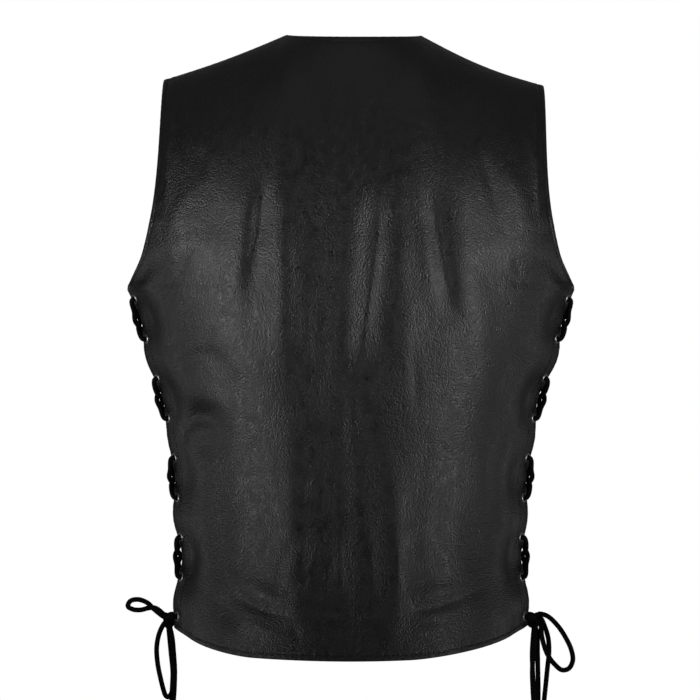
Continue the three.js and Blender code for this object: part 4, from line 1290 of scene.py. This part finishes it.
def spun_polyester(name, colour, fibre):
    """Dyed polyester yarn, braided or twisted: matt, with fine fibres that catch a little light."""
    material, tree, shader, place = new_material(name)
    fibres = clouded(tree, place, fibre, 3.0, 0.65).outputs["Fac"]
    tint = colour_between(tree, colour, [1.9 * part for part in colour], fibres)
    finish_shader(tree, shader, {"Base Color": tint, "Normal": bumped(tree, fibres, 0.5, 0.2)},
                  Roughness=0.85, Specular_IOR_Level=0.12)
    return material


def painted_floor(colour):
    """Matt studio floor paint, pale, with a slight unevenness from the roller. It glows a little, to be as
    pale as the room around it."""
    material, tree, shader, place = new_material("matt_floor_paint")
    clouds = clouded(tree, place, 500, 2.0).outputs["Fac"]
    tint = colour_between(tree, colour, [0.97 * part for part in colour], clouds)
    finish_shader(tree, shader, {"Base Color": tint, "Emission Color": tint},
                  Roughness=0.9, Emission_Strength=FLOOR_GLOW)
    return material


def made_once(name, make, *settings):
    """A material by its name, made when a piece first asks for it."""
    return bpy.data.materials.get(name) or make(*settings)


def leather_materials(sizes):
    return [
        made_once("full_grain_cowhide_black", grained_leather, sizes),
        made_once("cowhide_flesh_side_dyed", flesh_leather),
    ]


def lace_material(sizes):
    name = "braided_polyester_lace"
    return made_once(name, spun_polyester, name, tuple(sizes.colour), 0.45)


def thread_material(sizes):
    name = "bonded_polyester_thread"
    return made_once(name, spun_polyester, name, tuple(sizes.thread_colour), 0.25)


def nickel(sizes):
    return made_once("nickel_plated_brass", plated_nickel, tuple(sizes.colour))


def length_size(name, description, default, low, high):
    return FloatProperty(
        name=name, description=description, default=default, min=low, max=high, unit="LENGTH")


def colour_size(name, description, colour):
    return FloatVectorProperty(
        name=name, description=description, subtype="COLOR", default=linear(colour), min=0, max=1)


class VestLeatherSizes(bpy.types.PropertyGroup):
    """Sizes and colours of the leather"""

    turned_thickness: length_size(
        "Turned Edge", "Thickness of the leather where it is turned under", 0.002, 0.001, 0.004)
    hide_thickness: length_size("Hide", "Thickness of a single layer of the hide", 0.0013, 0.0008, 0.003)
    grain_size: length_size("Grain Size", "Width of one pebble of the grain", 0.0017, 0.0005, 0.006)
    grain_strength: FloatProperty(
        name="Grain Strength", description="How deep the grain is pressed", default=0.8, min=0, max=1)
    crease_depth: FloatProperty(
        name="Crease Depth", description="How deep the smaller creases are, as a share",
        default=1.0, min=0, max=2)
    roughness: FloatProperty(
        name="Roughness", description="Roughness of the finish", default=0.33, min=0.1, max=1)
    colour: colour_size("Colour", "Colour of the dyed grain", "#0d0d0e")
    worn_colour: colour_size("Lighter Patches", "Colour where the dye took less", "#17171a")


class VestLaceSizes(bpy.types.PropertyGroup):
    """Sizes and colours of the laces and the thread"""

    diameter: length_size("Lace", "Diameter of the round laces", 0.0052, 0.002, 0.008)
    thread: length_size("Thread", "Diameter of the sewing thread", 0.0006, 0.0002, 0.002)
    stitch_pitch: length_size("Stitch Pitch", "From one stitch to the next", 0.0033, 0.002, 0.008)
    stitch_length: length_size(
        "Stitch Length", "Length of thread that shows in one stitch", 0.0026, 0.001, 0.006)
    colour: colour_size("Lace Colour", "Colour of the laces", "#070708")
    thread_colour: colour_size("Thread Colour", "Colour of the thread", "#151516")


class VestMetalSizes(bpy.types.PropertyGroup):
    """Sizes and colours of the eyelets and snaps"""

    segments: IntProperty(
        name="Segments", description="Faces round an eyelet or snap", default=28, min=8, max=64)
    colour: colour_size("Nickel", "Colour of the plate", "#b4b5b8")


class VestStageSizes(bpy.types.PropertyGroup):
    """Camera, lights and floor"""

    camera_distance: length_size("Camera Distance", "From the wearer's middle to the camera", 2.6, 1, 8)
    camera_height: length_size(
        "Camera Height", "Height of the camera above the shoulders' middle", -0.2968, -2, 2)
    view_width: length_size("View Width", "Width of the view at the wearer's middle", 0.714, 0.2, 3)
    floor_height: length_size("Floor", "Height of the floor, which the wearer stands on", -1.45, -3, -0.8)
    floor_colour: colour_size("Floor Colour", "Colour of the floor", "#f4f4f3")


# Softboxes of the studio: azimuth is counted from behind the wearer towards the wearer's left. Each is aimed
# at a height on the wearer's axis, and a honeycomb grid narrows its beam to the spread, in degrees.
Softbox = namedtuple("Softbox", "name azimuth elevation distance aim width height spread power")
SOFTBOXES = [
    Softbox("left_high_softbox", 41, 5, 2.4, 0.15, 1.5, 0.5, 38, 1.12),
    Softbox("left_low_softbox", 41, -14, 2.45, 0, 1.5, 0.5, 40, 1.08),
    Softbox("right_high_softbox", -38, 5, 2.4, 0.15, 1.35, 0.5, 38, 0.99),
    Softbox("right_low_softbox", -38, -14, 2.45, 0, 1.35, 0.5, 40, 0.95),
    Softbox("top_softbox", 0, 60, 2.4, -0.1, 2.8, 2.0, 180, 3),
    Softbox("left_side_softbox", 92, -14, 2.6, -0.33, 1.6, 0.9, 180, 4.5),
    Softbox("right_side_softbox", -92, -14, 2.6, -0.33, 1.6, 0.9, 180, 3.9),
    Softbox("front_left_softbox", 170, -6, 2.6, -0.33, 0.7, 1.3, 180, 5),
    Softbox("front_right_softbox", -170, -6, 2.6, -0.33, 0.7, 1.3, 180, 5),
]


def softbox(box):
    azimuth, elevation = math.radians(box.azimuth), math.radians(box.elevation)
    level = box.distance * math.cos(elevation)
    light = bpy.data.lights.new(box.name, "AREA")
    light.shape = "RECTANGLE"
    light.size, light.size_y = box.width, box.height
    light.energy = box.power
    light.spread = math.radians(box.spread)
    lamp = bpy.data.objects.new(box.name, light)
    bpy.context.scene.collection.objects.link(lamp)
    lamp.location = (
        level * math.sin(azimuth),
        level * math.cos(azimuth),
        SOFTBOX_LEVEL + box.distance * math.sin(elevation),
    )
    lamp.rotation_euler = (Vector((0, 0, box.aim)) - lamp.location).to_track_quat("-Z", "Y").to_euler()
    lamp.visible_camera = False


class VEST_OT_stage(bpy.types.Operator):
    """Makes the camera, the lights, the surroundings and the floor"""

    bl_idname = "vest.stage"
    bl_label = "Stage"

    def execute(self, context):
        sizes = context.scene.vest_stage
        camera_data = bpy.data.cameras.new("camera")
        camera_data.sensor_width = SENSOR_WIDTH
        camera_data.lens = SENSOR_WIDTH * sizes.camera_distance / sizes.view_width
        camera = bpy.data.objects.new("camera", camera_data)
        camera.location = (CAMERA_SHIFT, sizes.camera_distance, sizes.camera_height)
        camera.rotation_euler = (math.pi / 2, 0, math.pi)
        context.scene.collection.objects.link(camera)
        context.scene.camera = camera
        context.scene.view_settings.view_transform = "Standard"
        for box in SOFTBOXES:
            softbox(box)
        self.surroundings(context)
        self.floor(sizes)
        return {"FINISHED"}

    def surroundings(self, context):
        """A white room as the camera sees it, which lights the leather only faintly."""
        world = bpy.data.worlds.new("studio")
        context.scene.world = world
        world.use_nodes = True
        tree = world.node_tree
        tree.nodes.clear()
        path = add(tree, "ShaderNodeLightPath")
        seen = add(tree, "ShaderNodeBackground", {"Color": (1, 1, 1, 1), "Strength": 1.0})
        felt = add(tree, "ShaderNodeBackground", {"Color": (1, 1, 1, 1), "Strength": ROOM_FELT})
        both = add(tree, "ShaderNodeMixShader", links={
            0: path.outputs["Is Camera Ray"], 1: felt.outputs[0], 2: seen.outputs[0]})
        add(tree, "ShaderNodeOutputWorld", links={"Surface": both.outputs[0]})

    def floor(self, sizes):
        turn = np.linspace(0, 2 * math.pi, FLOOR_SIDES, endpoint=False)
        level = np.full(FLOOR_SIDES, sizes.floor_height / MM)
        rim = np.stack([FLOOR_RADIUS * np.cos(turn), FLOOR_RADIUS * np.sin(turn), level], axis=1)
        paint = painted_floor(sizes.floor_colour)
        floor = make_mesh("studio_floor", rim, [list(range(FLOOR_SIDES))], [paint])
        # The leather gets no light from the floor.
        floor.visible_diffuse = False
        floor.visible_glossy = False


class VEST_OT_bows(bpy.types.Operator):
    """Makes the bows at the foot of the laces: knots, loops and tails"""

    bl_idname = "vest.bows"
    bl_label = "Bows"

    def execute(self, context):
        sizes = context.scene.vest_laces
        radius = sizes.diameter / MM / 2
        braid = lace_material(sizes)
        for side in SIDES:
            knot, _, _ = braided_lace(f"knot_{side}", knot_line(side), KNOT_STRAND, braid)
            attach(knot, "root")
            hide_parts(f"bow_knot_{side}")
            for name in BOWS[side]:
                route = bow_route(side, name, radius)
                piece, line, length = braided_lace(f"{name}_{side}", route, radius, braid)
                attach(piece, "root")
                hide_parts(f"bow_{name}_{side}")
        return {"FINISHED"}


class VEST_OT_lacing(bpy.types.Operator):
    """Makes the two laces that criss-cross through the eyelets of the sides"""

    bl_idname = "vest.lacing"
    bl_label = "Lacing"

    def execute(self, context):
        sizes = context.scene.vest_laces
        for side in SIDES:
            route = lacing_route(side)
            piece, _, _ = braided_lace(f"lacing_{side}", route, sizes.diameter / MM / 2, lace_material(sizes))
            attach(piece, "root")
            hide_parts(f"lace_{side}")
        return {"FINISHED"}


def leather_piece(name, panel, spots, sizes):
    vertices, faces, kinds = shell(panel, spots, sizes.turned_thickness / MM, sizes.hide_thickness / MM)
    piece = make_mesh(name, vertices, faces, leather_materials(sizes), kinds)
    drop_loose(piece)
    return piece


def finish_panel(piece, node):
    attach(piece, "root")
    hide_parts(node)


def sewn(panel, name, sizes):
    piece = stitches(name, panel, sizes.stitch_pitch / MM, sizes.stitch_length / MM, sizes.thread / MM,
                     thread_material(sizes))
    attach(piece, "root")


class VEST_OT_back(bpy.types.Operator):
    """Makes the back, cut in one piece, and its stitching"""

    bl_idname = "vest.back"
    bl_label = "Back"

    def execute(self, context):
        sizes, laces = context.scene.vest_leather, context.scene.vest_laces
        spots = eyelet_frames("back", "left") + eyelet_frames("back", "right")
        panel = back_panel(spots, sizes.crease_depth)
        piece = leather_piece("leather_back", panel, spots, sizes)
        finish_panel(piece, "back_panel")
        sewn(panel, "stitching_back", laces)
        return {"FINISHED"}


class VEST_OT_fronts(bpy.types.Operator):
    """Makes the two fronts, the wearer's left lapping over the right, and their stitching"""

    bl_idname = "vest.fronts"
    bl_label = "Fronts"

    def execute(self, context):
        sizes, laces = context.scene.vest_leather, context.scene.vest_laces
        snaps = snap_frames()
        for side in SIDES:
            spots = eyelet_frames("front", side)
            panel = front_panel(side, spots, snaps, sizes.crease_depth)
            piece = leather_piece(f"leather_front_{side}", panel, spots, sizes)
            finish_panel(piece, f"front_{side}")
            sewn(panel, f"stitching_front_{side}", laces)
        return {"FINISHED"}


class VEST_OT_eyelets(bpy.types.Operator):
    """Makes the rolled metal eyelets along the side edges"""

    bl_idname = "vest.eyelets"
    bl_label = "Eyelets"

    def execute(self, context):
        sizes = context.scene.vest_metal
        metal = nickel(sizes)
        for panel in ("back", "front"):
            for side in SIDES:
                spots = eyelet_frames(panel, side)
                piece = lathed(EYELET_SECTION, sizes.segments, spots, f"eyelets_{panel}_{side}", metal)
                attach(piece, "root")
                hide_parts(*[f"eyelet_{panel}_{side}_{row}" for row in range(1, EYELET_ROWS + 1)])
        return {"FINISHED"}


def arc(radius, height, size, start, end, steps):
    """Points of a round in a turned section, from one angle to another in degrees."""
    turn = [math.radians(start + (end - start) * i / steps) for i in range(steps + 1)]
    return [(radius + size * math.cos(a), height + size * math.sin(a)) for a in turn]


# Sections of the metal: radius from the axis, and height over the leather's outer face
EYELET_SECTION = [
    (3.1, -CAD_WALL - 0.2),
    *arc(4.95, 0.0, 0.25, -60, 60, 3),
    *arc(4.25, -0.05, 0.9, 55, 120, 3),
    *arc(3.8, 0.1, 0.75, 110, 180, 4),
    (3.05, -CAD_WALL - 0.1),
    *arc(3.65, -CAD_WALL - 0.3, 0.6, 180, 300, 4),
    (5.0, -CAD_WALL - 0.2),
    (3.4, -CAD_WALL - 0.05),
]
SNAP_SECTION = [
    (0.0, 2.6),
    (1.8, 2.55),
    (3.6, 2.3),
    (5.2, 1.85),
    *arc(6.55, 0.95, 0.95, 75, -60, 6),
    (6.2, 0.25),
    (2.2, 0.2),
    (2.2, -5.05),
    (5.3, -5.1),
    *arc(5.1, -5.7, 0.6, 60, -75, 4),
    (3.0, -6.2),
    (0.0, -6.2),
]


class VEST_OT_snaps(bpy.types.Operator):
    """Makes the domed snaps that close the fronts"""

    bl_idname = "vest.snaps"
    bl_label = "Snaps"

    def execute(self, context):
        sizes = context.scene.vest_metal
        metal = nickel(sizes)
        piece = lathed(SNAP_SECTION, sizes.segments, snap_frames(), "snaps", metal)
        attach(piece, "root")
        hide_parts(*[f"snap_{number}" for number in range(1, 5)])
        return {"FINISHED"}


OPERATORS = (
    VEST_OT_stage, VEST_OT_bows, VEST_OT_lacing, VEST_OT_back, VEST_OT_fronts, VEST_OT_eyelets, VEST_OT_snaps,
)


class VEST_PT_panel(bpy.types.Panel):
    """Lists the vest's pieces and sizes in the 3D view's sidebar"""

    bl_idname = "VEST_PT_panel"
    bl_label = "Leather Vest"
    bl_space_type = "VIEW_3D"
    bl_region_type = "UI"
    bl_category = "Vest"

    def draw(self, context):
        for group in (context.scene.vest_stage, context.scene.vest_leather, context.scene.vest_laces,
                      context.scene.vest_metal):
            box = self.layout.box()
            for name in group.bl_rna.properties.keys():
                if name not in ("rna_type", "name"):
                    box.prop(group, name)
        for operator in OPERATORS:
            self.layout.operator(operator.bl_idname)


GROUPS = {
    "vest_stage": VestStageSizes,
    "vest_leather": VestLeatherSizes,
    "vest_laces": VestLaceSizes,
    "vest_metal": VestMetalSizes,
}


def register():
    for kind in (*GROUPS.values(), *OPERATORS, VEST_PT_panel):
        bpy.utils.register_class(kind)
    for name, group in GROUPS.items():
        setattr(bpy.types.Scene, name, PointerProperty(type=group))


def unregister():
    for name in GROUPS:
        delattr(bpy.types.Scene, name)
    for kind in (VEST_PT_panel, *reversed(OPERATORS), *reversed(GROUPS.values())):
        bpy.utils.unregister_class(kind)


def main():
    register()
    bpy.ops.vest.stage()
    bpy.ops.vest.bows()
    bpy.ops.vest.lacing()
    bpy.ops.vest.back()
    bpy.ops.vest.fronts()
    bpy.ops.vest.eyelets()
    bpy.ops.vest.snaps()


if __name__ == "__main__":
    main()
